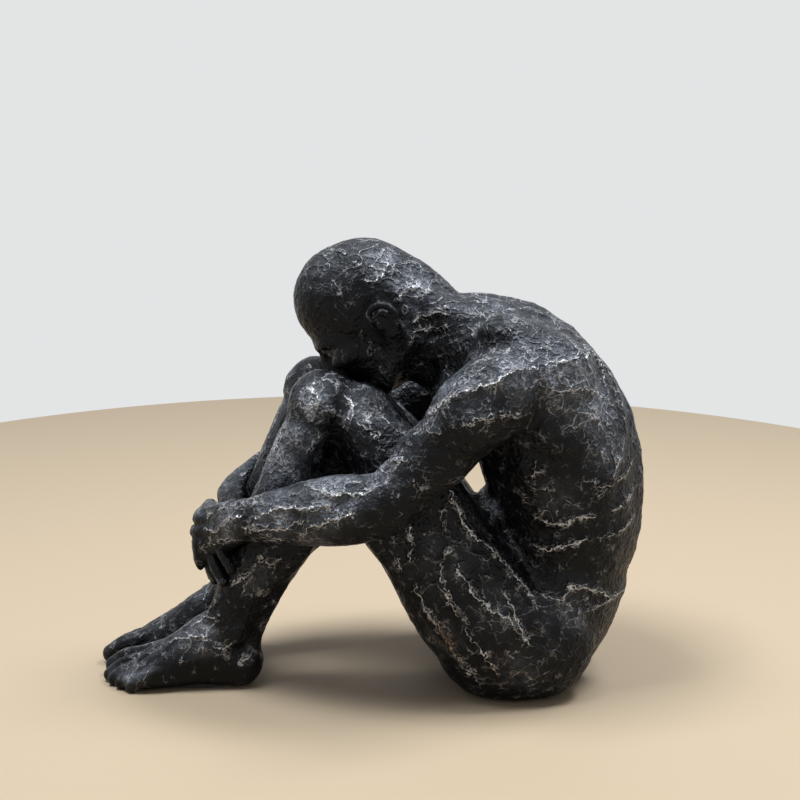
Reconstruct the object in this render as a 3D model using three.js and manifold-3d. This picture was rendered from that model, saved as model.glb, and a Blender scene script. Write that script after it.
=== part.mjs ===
// A seated figure that hugs its knees, made as a small cast-resin ornament.
// Six castings (torso, head, two arms, two legs) fit against each other and are pinned with dowels.
// Millimetres, +Z up. The figure faces -X, and its left side is towards -Y.
import * as THREE from "three";
import { LoftGeometry } from "three/addons/geometries/LoftGeometry.js";
import { mergeVertices } from "three/addons/utils/BufferGeometryUtils.js";
import Module from "manifold-3d";

// Fits
const JOINT_GAP = 0.4; // glue line between two castings
const DOWEL_CLEARANCE = 0.2; // round a dowel in its bore
const PAD_CLEARANCE = 0.3; // round a pad in its recess
const FACET_TOLERANCE = 0.02; // slivers finer than this are tidied off a cut

// Legs: the hips stand on the seat, the soles on the table, the knees follow from the lengths
const HIP_HEIGHT = 37;
const HIP_SPACING = 70;
const KNEE_SPACING = 45;
const ANKLE_SPACING = 44;
const ANKLE_HEIGHT = 36;
const ANKLE_REACH = 160; // from the hips forward to the ankles
const RIGHT_LEG_LEAD = 5.5; // the right leg stands this far ahead of the left
const THIGH_LENGTH = 158;
const SHIN_LENGTH = 135;
const THIGH_DEPTH = 70; // underside to top, near the seat
const THIGH_WIDTH = 62;
const KNEE_DEPTH = 47;
const KNEE_WIDTH = 40;
const CALF_DEPTH = 44;
const CALF_WIDTH = 35;
const ANKLE_DEPTH = 30;
const ANKLE_WIDTH = 25;

// Feet
const FOOT_LENGTH = 92;
const HEEL_WIDTH = 27;
const BALL_WIDTH = 38;
const INSTEP_HEIGHT = 46;
const TOE_HEIGHT = 11;
const TOE_TURNOUT = 1; // degrees

// Torso: depths and widths up the bent back
const SEAT_WIDTH = 126;
const SEAT_LENGTH = 90;
const WAIST_HEIGHT = 71;
const WAIST_DEPTH = 80;
const WAIST_WIDTH = 96;
const RIB_HEIGHT = 106;
const RIB_DEPTH = 86;
const RIB_WIDTH = 104;
const CHEST_HEIGHT = 141;
const CHEST_DEPTH = 90;
const CHEST_WIDTH = 116;
const SHOULDER_HEIGHT = 173;
const SHOULDER_DEPTH = 80;
const SHOULDER_WIDTH = 120;
const NAPE_HEIGHT = 200;
const NAPE_FORWARD = 42; // from the hips forward to the root of the neck
const NECK_WIDTH = 42;
const SPINE_DEPTH = 6; // of the furrow between the muscles beside the spine

// Arms: the wrists follow the shins, the elbows follow from the lengths
const SHOULDER_FORWARD = 12; // from the hips forward to the shoulder joints
const SHOULDER_JOINT_RISE = 5; // above the middle of the shoulders
const SHOULDER_JOINT_INSET = 1; // in from the side of the shoulders
const UPPER_ARM_LENGTH = 89;
const FOREARM_LENGTH = 80.5;
const DELTOID_DEPTH = 44;
const UPPER_ARM_DEPTH = 34;
const ELBOW_DEPTH = 34;
const FOREARM_DEPTH = 39;
const WRIST_DEPTH = 23;
const WRIST_THICKNESS = 17;
const HANDS_HEIGHT = 101;
const HAND_WIDTH = 31;
const PALM_THICKNESS = 15;
const FINGER_THICKNESS = 9;
const FINGER_LENGTH = 30; // the middle finger

// Head
const HEAD_LENGTH = 70;
const HEAD_WIDTH = 54;
const HEAD_HEIGHT = 82;
const HEAD_TILT = 40; // degrees that the face looks down
const EAR_HEIGHT = 23;
const NECK_LENGTH = 35; // root of the neck to the axis of the ears

// Fixings
const DOWEL_DIAMETER = 6;
const DOWEL_LENGTH = 32;
const PAD_THICKNESS = 2;
const PAD_STANDS_PROUD = 0.8;
const SEAT_PAD_LENGTH = 40;
const SEAT_PAD_WIDTH = 74;
const FOOT_PAD_LENGTH = 52;
const FOOT_PAD_WIDTH = 16;

// Finish
const PAINT = { color: 0x1d1c1e, roughness: 0.5, metalness: 0.25 };
const STEEL = { color: 0xa7a9ac, roughness: 0.35, metalness: 1 };
const FELT = { color: 0x17181a, roughness: 0.95, metalness: 0 };

const wasm = await Module();
wasm.setup();
const v = (x, y, z) => new THREE.Vector3(x, y, z);
const UP = v(0, 0, 1);
const FORWARD = v(-1, 0, 0);

// A closed three.js geometry as a solid that can be joined and cut.
function solidOf(geometry) {
  const bare = geometry.index ? geometry.toNonIndexed() : geometry.clone();
  bare.deleteAttribute("normal");
  bare.deleteAttribute("uv");
  const merged = mergeVertices(bare, 1e-3);
  return new wasm.Manifold(
    new wasm.Mesh({
      numProp: 3,
      vertProperties: merged.attributes.position.array,
      triVerts: new Uint32Array(merged.index.array),
    }),
  );
}

const join = (solids) => solids.reduce((whole, piece) => whole.add(piece));

const cut = (solid, cutters) => cutters.reduce((whole, cutter) => whole.subtract(cutter), solid);

// The main body of a cut solid, without the crumbs that a cut can leave.
function mainBody(solid) {
  const largest = solid.decompose().sort((a, b) => b.volume() - a.volume())[0];
  return largest.simplify(FACET_TOLERANCE);
}

function ellipsoid(at, radii, sides = 14) {
  const ball = new THREE.SphereGeometry(1, sides, Math.round(sides * 0.6));
  ball.scale(radii.x, radii.y, radii.z).translate(at.x, at.y, at.z);
  return solidOf(ball);
}

function rod(from, to, radius, sides = 16) {
  const axis = to.clone().sub(from);
  const geometry = new THREE.CylinderGeometry(radius, radius, axis.length(), sides);
  const turn = new THREE.Quaternion().setFromUnitVectors(v(0, 1, 0), axis.normalize());
  const middle = from.clone().lerp(to, 0.5);
  geometry.applyQuaternion(turn).translate(middle.x, middle.y, middle.z);
  return solidOf(geometry);
}

// A disc with round ends, lying flat with its underside at `bottom`.
function pill(at, length, width, bottom, top, sides = 14) {
  const outline = new THREE.Shape();
  outline.absellipse(at.x, at.y, length / 2, width / 2, 0, Math.PI * 2);
  const slab = new THREE.ExtrudeGeometry(outline, {
    depth: top - bottom,
    bevelEnabled: false,
    curveSegments: sides,
  });
  return solidOf(slab.translate(0, 0, bottom));
}

function block(low, high) {
  const size = high.clone().sub(low);
  const middle = low.clone().lerp(high, 0.5);
  return solidOf(new THREE.BoxGeometry(size.x, size.y, size.z).translate(middle.x, middle.y, middle.z));
}

// A flesh form: oval sections on a smooth line through the stations, with a round end at each end.
// Each station has a point, its reach towards `front` and away from it, and its reach sideways.
// A furrow draws the middle of the back in and lets the flesh on both sides of it stand out.
function limb(stations, front, { sides = 14, steps = 2, grow = 0, dome, furrow = 0 }) {
  const line = new THREE.CatmullRomCurve3(stations.map((s) => s.at));
  const reaches = new THREE.CatmullRomCurve3(
    stations.map((s) => v(s.front, s.back, s.side)),
    false,
    "catmullrom",
  );
  const rows = (stations.length - 1) * steps;
  const furrowShares = [0.7, -0.3];
  const sections = [];
  const addRing = (share, shrink, shift) => {
    const along = line.getTangent(share);
    const ahead = front.clone().addScaledVector(along, -front.dot(along)).normalize();
    const aside = along.clone().cross(ahead);
    const reach = reaches.getPoint(share);
    const deep = ((reach.x + reach.y) / 2 + grow) * shrink;
    const wide = (reach.z + grow) * shrink;
    const middle = line
      .getPoint(share)
      .addScaledVector(ahead, (reach.x - reach.y) / 2)
      .addScaledVector(along, shift * ((reach.x + reach.y + 2 * reach.z) / 4 + grow));
    const ring = [];
    for (let i = 0; i < sides; i++) {
      const turn = (i / sides) * Math.PI * 2;
      const drawnIn = furrow * shrink * (furrowShares[Math.abs(i - sides / 2)] ?? 0);
      const point = middle.clone().addScaledVector(ahead, deep * Math.cos(turn) + drawnIn);
      ring.push(point.addScaledVector(aside, wide * Math.sin(turn)));
    }
    sections.push(ring);
  };
  const domeAngles = [35, 68].map(THREE.MathUtils.degToRad);
  for (const angle of [...domeAngles].reverse()) addRing(0, Math.cos(angle), -Math.sin(angle) * dome[0]);
  for (let i = 0; i <= rows; i++) addRing(i / rows, 1, 0);
  for (const angle of domeAngles) addRing(1, Math.cos(angle), Math.sin(angle) * dome[1]);
  return solidOf(new LoftGeometry(sections, { capStart: true, capEnd: true }));
}

// Where two bones of given lengths bend between their far ends, on the side that `pole` points to.
function bendPoint(start, end, startLength, endLength, pole) {
  const span = end.clone().sub(start);
  const reach = Math.min(span.length(), startLength + endLength - 0.5);
  const along = (startLength ** 2 - endLength ** 2 + reach ** 2) / (2 * reach);
  const rise = Math.sqrt(Math.max(startLength ** 2 - along ** 2, 0));
  const direction = span.normalize();
  const outward = pole.clone().addScaledVector(direction, -pole.dot(direction)).normalize();
  return start.clone().addScaledVector(direction, along).addScaledVector(outward, rise);
}

// Legs. `side` is -1 for the left and 1 for the right.
function legBones(side) {
  const lead = side > 0 ? RIGHT_LEG_LEAD : 0;
  const hip = v(-lead, (side * HIP_SPACING) / 2, HIP_HEIGHT);
  const ankle = v(-lead - ANKLE_REACH, (side * ANKLE_SPACING) / 2, ANKLE_HEIGHT);
  const flatHip = hip.clone().setY(0);
  const flatAnkle = ankle.clone().setY(0);
  const knee = bendPoint(flatHip, flatAnkle, THIGH_LENGTH, SHIN_LENGTH, UP);
  knee.setY((side * KNEE_SPACING) / 2);
  return { hip, knee, ankle };
}

function thigh({ hip, knee }, grow) {
  const at = (share) => hip.clone().lerp(knee, share);
  const front = v(0, 1, 0).cross(knee.clone().sub(hip)).normalize();
  const stations = [
    { at: at(0.04), front: THIGH_DEPTH * 0.36, back: THIGH_DEPTH * 0.62, side: THIGH_WIDTH * 0.52 },
    { at: at(0.18), front: THIGH_DEPTH * 0.38, back: THIGH_DEPTH * 0.66, side: THIGH_WIDTH * 0.5 },
    { at: at(0.38), front: THIGH_DEPTH * 0.38, back: THIGH_DEPTH * 0.57, side: THIGH_WIDTH * 0.46 },
    { at: at(0.6), front: THIGH_DEPTH * 0.38, back: THIGH_DEPTH * 0.44, side: THIGH_WIDTH * 0.41 },
    { at: at(0.8), front: KNEE_DEPTH * 0.57, back: KNEE_DEPTH * 0.32, side: KNEE_WIDTH * 0.53 },
    { at: at(0.94), front: KNEE_DEPTH * 0.6, back: KNEE_DEPTH * 0.24, side: KNEE_WIDTH * 0.5 },
  ];
  return limb(stations, front, { grow, dome: [0.9, 0.9] });
}

function shin({ knee, ankle }, grow) {
  const at = (share) => knee.clone().lerp(ankle, share);
  const front = v(0, 1, 0).cross(ankle.clone().sub(knee)).normalize();
  const stations = [
    { at: at(0.03), front: KNEE_DEPTH * 0.47, back: -KNEE_DEPTH * 0.02, side: KNEE_WIDTH * 0.44 },
    { at: at(0.17), front: KNEE_DEPTH * 0.49, back: -KNEE_DEPTH * 0.06, side: KNEE_WIDTH * 0.4 },
    { at: at(0.37), front: CALF_DEPTH * 0.5, back: CALF_DEPTH * 0.24, side: CALF_WIDTH * 0.49 },
    { at: at(0.58), front: CALF_DEPTH * 0.48, back: CALF_DEPTH * 0.52, side: CALF_WIDTH * 0.5 },
    { at: at(0.72), front: CALF_DEPTH * 0.46, back: CALF_DEPTH * 0.4, side: CALF_WIDTH * 0.44 },
    { at: at(0.86), front: ANKLE_DEPTH * 0.6, back: ANKLE_DEPTH * 0.46, side: ANKLE_WIDTH * 0.54 },
    { at: at(1), front: ANKLE_DEPTH * 0.52, back: ANKLE_DEPTH * 0.4, side: ANKLE_WIDTH * 0.52 },
  ];
  return limb(stations, front, { grow, dome: [0.6, 0.7] });
}

function foot({ ankle }, side, grow) {
  const heel = ankle.x + ANKLE_DEPTH * 0.54;
  const at = (share, height) => v(heel - FOOT_LENGTH * share, ankle.y, height);
  const station = (share, height, width) => ({
    at: at(share, 0),
    front: height,
    back: TOE_HEIGHT * 0.4,
    side: width / 2,
  });
  const stations = [
    station(0.1, INSTEP_HEIGHT * 0.56, HEEL_WIDTH * 0.9),
    station(0.22, INSTEP_HEIGHT * 0.84, HEEL_WIDTH),
    station(0.36, INSTEP_HEIGHT * 0.93, HEEL_WIDTH * 1.04),
    station(0.54, INSTEP_HEIGHT * 0.66, BALL_WIDTH * 0.84),
    station(0.7, INSTEP_HEIGHT * 0.46, BALL_WIDTH * 0.98),
    station(0.81, TOE_HEIGHT * 1.25, BALL_WIDTH * 0.94),
  ];
  const forms = [limb(stations, UP, { sides: 12, grow, dome: [0.55, 0.4] })];
  // Toes run from the big one, on the inside, to the little one.
  const toeTips = [1, 0.995, 0.955, 0.905, 0.84];
  const toeThickness = [1.18, 0.86, 0.84, 0.82, 0.8];
  const toePlaces = [-0.36, -0.1, 0.1, 0.29, 0.46];
  toeTips.forEach((tip, i) => {
    const thick = (TOE_HEIGHT / 2) * toeThickness[i];
    const out = side * BALL_WIDTH * toePlaces[i];
    const toe = (share, height, scale, spread) => ({
      at: at(share, height).add(v(0, out * spread, 0)),
      front: thick * scale,
      back: thick * scale,
      side: thick * scale * 0.95,
    });
    forms.push(
      limb(
        [
          toe(tip - 0.27, TOE_HEIGHT * 0.7, 0.9, 0.74),
          toe(tip - 0.13, TOE_HEIGHT * 0.8, 0.95, 0.94),
          toe(tip - (thick * 0.9) / FOOT_LENGTH, TOE_HEIGHT * 0.42, 1, 1),
        ],
        UP,
        { sides: 6, grow, dome: [0.3, 0.8] },
      ),
    );
  });
  const whole = join(forms);
  // Turn the toes out about the heel.
  const turnout = side * THREE.MathUtils.degToRad(-TOE_TURNOUT);
  const matrix = new THREE.Matrix4()
    .makeTranslation(heel, ankle.y, 0)
    .multiply(new THREE.Matrix4().makeRotationZ(turnout))
    .multiply(new THREE.Matrix4().makeTranslation(-heel, -ankle.y, 0));
  return whole.transform(matrix.toArray());
}

function leg(side, grow = 0) {
  const bones = legBones(side);
  const { knee } = bones;
  const kneeCap = ellipsoid(
    knee.clone().add(v(-KNEE_DEPTH * 0.12, 0, KNEE_DEPTH * 0.06)),
    v(KNEE_DEPTH * 0.45 + grow, KNEE_WIDTH * 0.49 + grow, KNEE_DEPTH * 0.44 + grow),
  );
  return join([thigh(bones, grow), shin(bones, grow), kneeCap, foot(bones, side, grow)]);
}

// The table's plane takes off everything that is below the flat underside.
function flatten(solid) {
  const far = 4 * THIGH_LENGTH;
  return solid.subtract(block(v(-far, -far, -far), v(far, far, PAD_STANDS_PROUD)));
}

// Each leg keeps to its own side of the middle.
function ownSide(solid, side) {
  const far = 4 * THIGH_LENGTH;
  const edge = (side * JOINT_GAP) / 2;
  const low = Math.min(edge, -side * far);
  const high = Math.max(edge, -side * far);
  return solid.subtract(block(v(-far, low, -far), v(far, high, far)));
}

// Torso: the line of the back, hips to nape, and the fullness round it
const NAPE = v(-NAPE_FORWARD, 0, NAPE_HEIGHT);

// The middle of one round half of the seat.
function seatMiddle(side) {
  return v(-SEAT_LENGTH * 0.03, (side * HIP_SPACING) / 2, HIP_HEIGHT * 0.82);
}

function torsoForm(grow = 0) {
  const station = (x, height, depth, width) => ({
    at: v(x, 0, height),
    front: depth / 2,
    back: depth / 2,
    side: width / 2,
  });
  const stations = [
    station(HIP_SPACING * 0.13, HIP_HEIGHT * 0.2, WAIST_DEPTH * 0.7, WAIST_WIDTH * 0.84),
    station(HIP_SPACING * 0.22, HIP_HEIGHT * 0.95, WAIST_DEPTH * 0.94, WAIST_WIDTH * 1.04),
    station(HIP_SPACING * 0.36, WAIST_HEIGHT, WAIST_DEPTH, WAIST_WIDTH),
    station(HIP_SPACING * 0.39, RIB_HEIGHT, RIB_DEPTH, RIB_WIDTH),
    station(HIP_SPACING * 0.28, CHEST_HEIGHT, CHEST_DEPTH, CHEST_WIDTH),
    station(HIP_SPACING * 0.02, SHOULDER_HEIGHT, SHOULDER_DEPTH, SHOULDER_WIDTH),
    station(-NAPE_FORWARD * 0.55, NAPE_HEIGHT * 0.955, SHOULDER_DEPTH * 0.76, SHOULDER_WIDTH * 0.66),
    station(-NAPE_FORWARD, NAPE_HEIGHT, NECK_WIDTH, NECK_WIDTH * 1.2),
  ];
  const chest = ellipsoid(
    v(-NAPE_FORWARD * 0.7, 0, NAPE_HEIGHT * 0.84),
    v(SHOULDER_DEPTH * 0.26 + grow, SHOULDER_WIDTH * 0.3 + grow, SHOULDER_DEPTH * 0.3 + grow),
  );
  const forms = [limb(stations, FORWARD, { sides: 22, grow, dome: [0.3, 0.3], furrow: SPINE_DEPTH }), chest];
  for (const side of [-1, 1]) {
    forms.push(
      // the muscle beside the neck, the shoulder blade, the shoulder and one half of the seat
      ellipsoid(
        v(-SHOULDER_FORWARD * 0.15, side * SHOULDER_WIDTH * 0.3, NAPE_HEIGHT * 0.98),
        v(SHOULDER_DEPTH * 0.3 + grow, SHOULDER_WIDTH * 0.18 + grow, SHOULDER_DEPTH * 0.17 + grow),
      ),
      ellipsoid(
        v(HIP_SPACING * 0.44, side * SHOULDER_WIDTH * 0.25, SHOULDER_HEIGHT * 0.97),
        v(SHOULDER_DEPTH * 0.14 + grow, SHOULDER_WIDTH * 0.13 + grow, SHOULDER_DEPTH * 0.36 + grow),
      ),
      ellipsoid(
        v(SHOULDER_FORWARD * 0.2, side * SHOULDER_WIDTH * 0.33, SHOULDER_HEIGHT * 1.03),
        v(SHOULDER_DEPTH * 0.46 + grow, SHOULDER_WIDTH * 0.2 + grow, SHOULDER_DEPTH * 0.36 + grow),
      ),
      ellipsoid(
        seatMiddle(side),
        v(SEAT_LENGTH / 2 + grow, (SEAT_WIDTH - HIP_SPACING) / 2 + grow, HIP_HEIGHT + grow),
        20,
      ),
    );
  }
  return join(forms);
}

// Arms
function armBones(side) {
  const { knee, ankle } = legBones(-1);
  const out = SHOULDER_WIDTH / 2 - SHOULDER_JOINT_INSET;
  const shoulder = v(-SHOULDER_FORWARD, side * out, SHOULDER_HEIGHT + SHOULDER_JOINT_RISE);
  const share = (knee.z - HANDS_HEIGHT) / (knee.z - ankle.z);
  const onShin = knee.clone().lerp(ankle, share).multiply(v(1, -side, 1));
  const shinFront = onShin.x - CALF_DEPTH * 0.54;
  return { shoulder, onShin, shinFront };
}

function elbowOf(side, wrist) {
  const pole = v(0.43, 0.42 * side, -0.8);
  return bendPoint(armBones(side).shoulder, wrist, UPPER_ARM_LENGTH, FOREARM_LENGTH, pole);
}

function arm(side, wrist, palm, hand, grow) {
  const { shoulder } = armBones(side);
  const elbow = elbowOf(side, wrist);
  const upper = (share) => shoulder.clone().lerp(elbow, share);
  const lower = (share) => elbow.clone().lerp(wrist, share);
  const station = (at, deep, wide) => ({ at, front: deep / 2, back: deep / 2, side: wide / 2 });
  const root = ellipsoid(
    shoulder.clone().add(v(DELTOID_DEPTH * 0.2, -side * DELTOID_DEPTH * 0.22, DELTOID_DEPTH * 0.06)),
    v(DELTOID_DEPTH * 0.5 + grow, DELTOID_DEPTH * 0.46 + grow, DELTOID_DEPTH * 0.44 + grow),
  );
  const stations = [
    station(upper(0.05), DELTOID_DEPTH * 1.04, DELTOID_DEPTH * 0.96),
    station(upper(0.36), UPPER_ARM_DEPTH * 1.14, UPPER_ARM_DEPTH * 1.08),
    station(upper(0.7), UPPER_ARM_DEPTH * 0.96, UPPER_ARM_DEPTH * 0.94),
    station(upper(1), ELBOW_DEPTH, ELBOW_DEPTH * 0.94),
    station(lower(0.3), FOREARM_DEPTH, FOREARM_DEPTH * 0.92),
    station(lower(0.66), FOREARM_DEPTH * 0.84, FOREARM_DEPTH * 0.76),
    station(wrist, WRIST_DEPTH, WRIST_THICKNESS),
    station(wrist.clone().lerp(palm, 0.5), HAND_WIDTH * 0.9, PALM_THICKNESS),
    station(palm, HAND_WIDTH, PALM_THICKNESS * 0.86),
  ];
  const flesh = limb(stations, UP, { grow, dome: [0.8, 0.4] });
  return join([root, flesh, ...hand.map((made) => made(grow))]);
}

// One finger or thumb through three or more points, thinner to its tip.
function digit(points, thickness) {
  return (grow) => {
    const stations = points.map((at, i) => {
      const reach = (thickness / 2) * (1.06 - (0.2 * i) / (points.length - 1));
      return { at, front: reach, back: reach, side: reach };
    });
    return limb(stations, FORWARD, { sides: 6, grow, dome: [0.5, 0.8] });
  };
}

// The left hand holds the right one: its knuckles stand one above the other in front of the shins.
function leftWrist() {
  const { onShin } = armBones(-1);
  return v(onShin.x - CALF_DEPTH * 0.52, onShin.y - CALF_WIDTH * 0.62, HANDS_HEIGHT);
}

function leftArm(grow = 0) {
  const { shinFront } = armBones(-1);
  const wrist = leftWrist();
  const palm = v(shinFront - PALM_THICKNESS * 1.5, -CALF_WIDTH * 0.42, HANDS_HEIGHT - HAND_WIDTH * 0.56);
  const reach = FINGER_LENGTH;
  const lengths = [0.9, 1, 0.94, 0.78];
  const hand = lengths.map((length, i) => {
    const drop = (i - 1.4) * HAND_WIDTH * 0.25;
    const bow = -PALM_THICKNESS * (0.3 - 0.09 * (i - 1.2) ** 2);
    const knuckle = palm.clone().add(v(bow, 0, -drop));
    return digit(
      [
        knuckle.clone().add(v(reach * 0.06, -reach * 0.2, reach * 0.04)),
        knuckle.clone().add(v(-reach * 0.06, reach * 0.16, 0)),
        knuckle.clone().add(v(reach * 0.02, reach * 0.62 * length, -reach * 0.06)),
        knuckle.clone().add(v(reach * 0.34, reach * 0.95 * length, -reach * 0.16)),
      ],
      FINGER_THICKNESS,
    );
  });
  hand.push(
    digit(
      [
        wrist.clone().lerp(palm, 0.3).add(v(0, 0, HAND_WIDTH * 0.28)),
        palm.clone().add(v(PALM_THICKNESS * 0.2, -reach * 0.1, HAND_WIDTH * 0.56)),
        palm.clone().add(v(PALM_THICKNESS * 0.1, reach * 0.42, HAND_WIDTH * 0.5)),
      ],
      FINGER_THICKNESS * 1.2,
    ),
  );
  return arm(-1, wrist, palm, hand, grow);
}

// The right hand hangs behind the left one, with its fingers on the front of the left shin.
function rightWrist() {
  const { onShin, shinFront } = armBones(1);
  const y = onShin.y + CALF_WIDTH * 0.3;
  return v(shinFront - WRIST_THICKNESS * 0.4, y, HANDS_HEIGHT + WRIST_DEPTH * 0.04);
}

function rightArm(grow = 0) {
  const { shinFront } = armBones(1);
  const wrist = rightWrist();
  const palm = v(shinFront - PALM_THICKNESS * 0.62, -CALF_WIDTH * 0.28, HANDS_HEIGHT - HAND_WIDTH * 0.66);
  const reach = FINGER_LENGTH;
  const lengths = [0.92, 1, 0.95, 0.8];
  const hand = lengths.map((length, i) => {
    const drop = (i - 1.4) * HAND_WIDTH * 0.24;
    const knuckle = palm.clone().add(v(-drop * 0.35, drop * 0.5, -drop * 0.7));
    return digit(
      [
        knuckle.clone().add(v(0, reach * 0.2, reach * 0.1)),
        knuckle.clone().add(v(-reach * 0.04, -reach * 0.14, -reach * 0.08)),
        knuckle.clone().add(v(reach * 0.06, -reach * 0.46 * length, -reach * 0.4 * length)),
        knuckle.clone().add(v(reach * 0.4, -reach * 0.72 * length, -reach * 0.74 * length)),
      ],
      FINGER_THICKNESS,
    );
  });
  return arm(1, wrist, palm, hand, grow);
}

// Head: modelled upright with the middle of the ears at the origin and the face towards +X
function headForm(grow = 0) {
  const forehead = HEAD_LENGTH * 0.58;
  const brow = HEAD_HEIGHT * 0.1;
  const chin = -HEAD_HEIGHT * 0.44;
  const eyes = HEAD_HEIGHT * 0.06;
  const half = HEAD_WIDTH / 2;
  const ear = EAR_HEIGHT / 2;
  const oval = (x, y, z, rx, ry, rz, sides = 12) =>
    ellipsoid(v(x, y, z), v(rx + grow, ry + grow, rz + grow), sides);
  const station = (x, z, front, back, side) => ({ at: v(x, 0, z), front, back, side });
  const jaw = limb(
    [
      station(forehead * 0.5, brow * 1.6, forehead * 0.46, forehead * 0.5, half * 0.82),
      station(forehead * 0.5, -HEAD_HEIGHT * 0.1, forehead * 0.44, forehead * 0.52, half * 0.84),
      station(forehead * 0.55, -HEAD_HEIGHT * 0.25, forehead * 0.44, forehead * 0.48, half * 0.72),
      station(forehead * 0.68, chin * 0.84, forehead * 0.27, forehead * 0.36, half * 0.46),
    ],
    v(1, 0, 0),
    { grow, dome: [0.3, 0.34] },
  );
  const noseLength = HEAD_HEIGHT * 0.18;
  const nose = limb(
    [
      station(forehead * 0.93, eyes, noseLength * 0.24, noseLength * 0.3, noseLength * 0.26),
      station(forehead * 1.02, eyes - noseLength * 0.6, noseLength * 0.3, noseLength * 0.4, noseLength * 0.4),
      station(forehead * 1.06, eyes - noseLength, noseLength * 0.33, noseLength * 0.48, noseLength * 0.54),
    ],
    v(1, 0, 0),
    { sides: 8, grow, dome: [0.4, 0.3] },
  );
  const forms = [
    oval(HEAD_LENGTH * 0.05, 0, HEAD_HEIGHT * 0.16, HEAD_LENGTH / 2, half, HEAD_HEIGHT * 0.42, 20),
    jaw,
    nose,
    oval(forehead * 0.84, 0, brow, HEAD_LENGTH * 0.12, half * 0.72, HEAD_HEIGHT * 0.07),
    oval(forehead * 0.9, 0, -HEAD_HEIGHT * 0.27, HEAD_LENGTH * 0.08, HEAD_WIDTH * 0.2, HEAD_HEIGHT * 0.05),
  ];
  for (const side of [-1, 1]) {
    forms.push(
      oval(-ear * 0.12, side * half * 0.98, -ear * 0.2, ear * 0.6, ear * 0.3, ear),
      oval(forehead * 0.72, side * half * 0.52, -brow * 0.6, HEAD_LENGTH * 0.13, half * 0.3, brow * 0.8),
    );
  }
  return join(forms);
}

const EARS = NAPE.clone().add(v(-NECK_LENGTH * 0.97, 0, NECK_LENGTH * 0.24));

function head(grow = 0) {
  const matrix = new THREE.Matrix4()
    .makeTranslation(EARS.x, EARS.y, EARS.z)
    .multiply(new THREE.Matrix4().makeRotationZ(Math.PI))
    .multiply(new THREE.Matrix4().makeRotationY(THREE.MathUtils.degToRad(HEAD_TILT)));
  const station = (share, above, below, wide) => ({
    at: NAPE.clone().lerp(EARS, share),
    front: above * NECK_WIDTH,
    back: below * NECK_WIDTH,
    side: (wide * NECK_WIDTH) / 2,
  });
  const neck = limb(
    [station(-0.3, 0.4, 0.4, 0.8), station(0.2, 0.5, 0.46, 1), station(0.75, 0.62, 0.46, 0.98)],
    UP,
    { grow, dome: [0.3, 0.5] },
  );
  return join([headForm(grow).transform(matrix.toArray()), neck]);
}

// A dowel lies across the seam between two castings, half in each.
function dowelEnds(middle, direction) {
  const half = direction.clone().normalize().multiplyScalar(DOWEL_LENGTH / 2);
  return [middle.clone().sub(half), middle.clone().add(half)];
}

const dowels = { neck_dowel: dowelEnds(NAPE.clone().lerp(EARS, 0.1), EARS.clone().sub(NAPE)) };
for (const [name, side, wrist] of [["left", -1, leftWrist()], ["right", 1, rightWrist()]]) {
  const { hip, knee } = legBones(side);
  const thighLine = knee.clone().sub(hip).normalize();
  const atHip = seatMiddle(side).addScaledVector(thighLine, HIP_HEIGHT * 1.08);
  dowels[`${name}_hip_dowel`] = dowelEnds(atHip, thighLine);
  const { shoulder } = armBones(side);
  const inArm = shoulder.clone().lerp(elbowOf(side, wrist), 0.34);
  const inTorso = shoulder.clone().add(v(DELTOID_DEPTH * 0.5, -side * DELTOID_DEPTH * 0.5, 0));
  const atShoulder = inArm.clone().lerp(inTorso, 0.32);
  dowels[`${name}_shoulder_dowel`] = dowelEnds(atShoulder, inTorso.clone().sub(inArm));
}
const bores = Object.values(dowels).map(([from, to]) => {
  const spare = to.clone().sub(from).normalize().multiplyScalar(DOWEL_CLEARANCE);
  return rod(from.clone().sub(spare), to.clone().add(spare), DOWEL_DIAMETER / 2 + DOWEL_CLEARANCE);
});

// Felt pads lie in shallow recesses and carry the figure.
const pads = {
  seat_felt_pad: { at: seatMiddle(0), length: SEAT_PAD_LENGTH, width: SEAT_PAD_WIDTH },
};
for (const [name, side] of [["left", -1], ["right", 1]]) {
  const { ankle } = legBones(side);
  const at = ankle.clone().add(v(ANKLE_DEPTH * 0.4 - FOOT_LENGTH * 0.42, side * FOOT_LENGTH * 0.02, 0));
  pads[`${name}_foot_felt_pad`] = { at, length: FOOT_PAD_LENGTH, width: FOOT_PAD_WIDTH };
}
const recesses = Object.values(pads).map(({ at, length, width }) => {
  const spare = 2 * PAD_CLEARANCE;
  return pill(at, length + spare, width + spare, -PAD_THICKNESS, PAD_THICKNESS + PAD_CLEARANCE);
});

const torsoCutter = torsoForm(JOINT_GAP);
const legCutters = [leg(-1, JOINT_GAP), leg(1, JOINT_GAP)];
const finish = (solid, cutters) => mainBody(cut(flatten(solid), [...cutters, ...bores, ...recesses]));

const castings = {
  torso_casting: finish(torsoForm(), []),
  head_casting: finish(head(), [torsoCutter, ...legCutters]),
  left_leg_casting: finish(ownSide(leg(-1), -1), [torsoCutter]),
  right_leg_casting: finish(ownSide(leg(1), 1), [torsoCutter]),
  right_arm_casting: finish(rightArm(), [torsoCutter, ...legCutters]),
  left_arm_casting: finish(leftArm(), [torsoCutter, ...legCutters, rightArm(JOINT_GAP)]),
};

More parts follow.
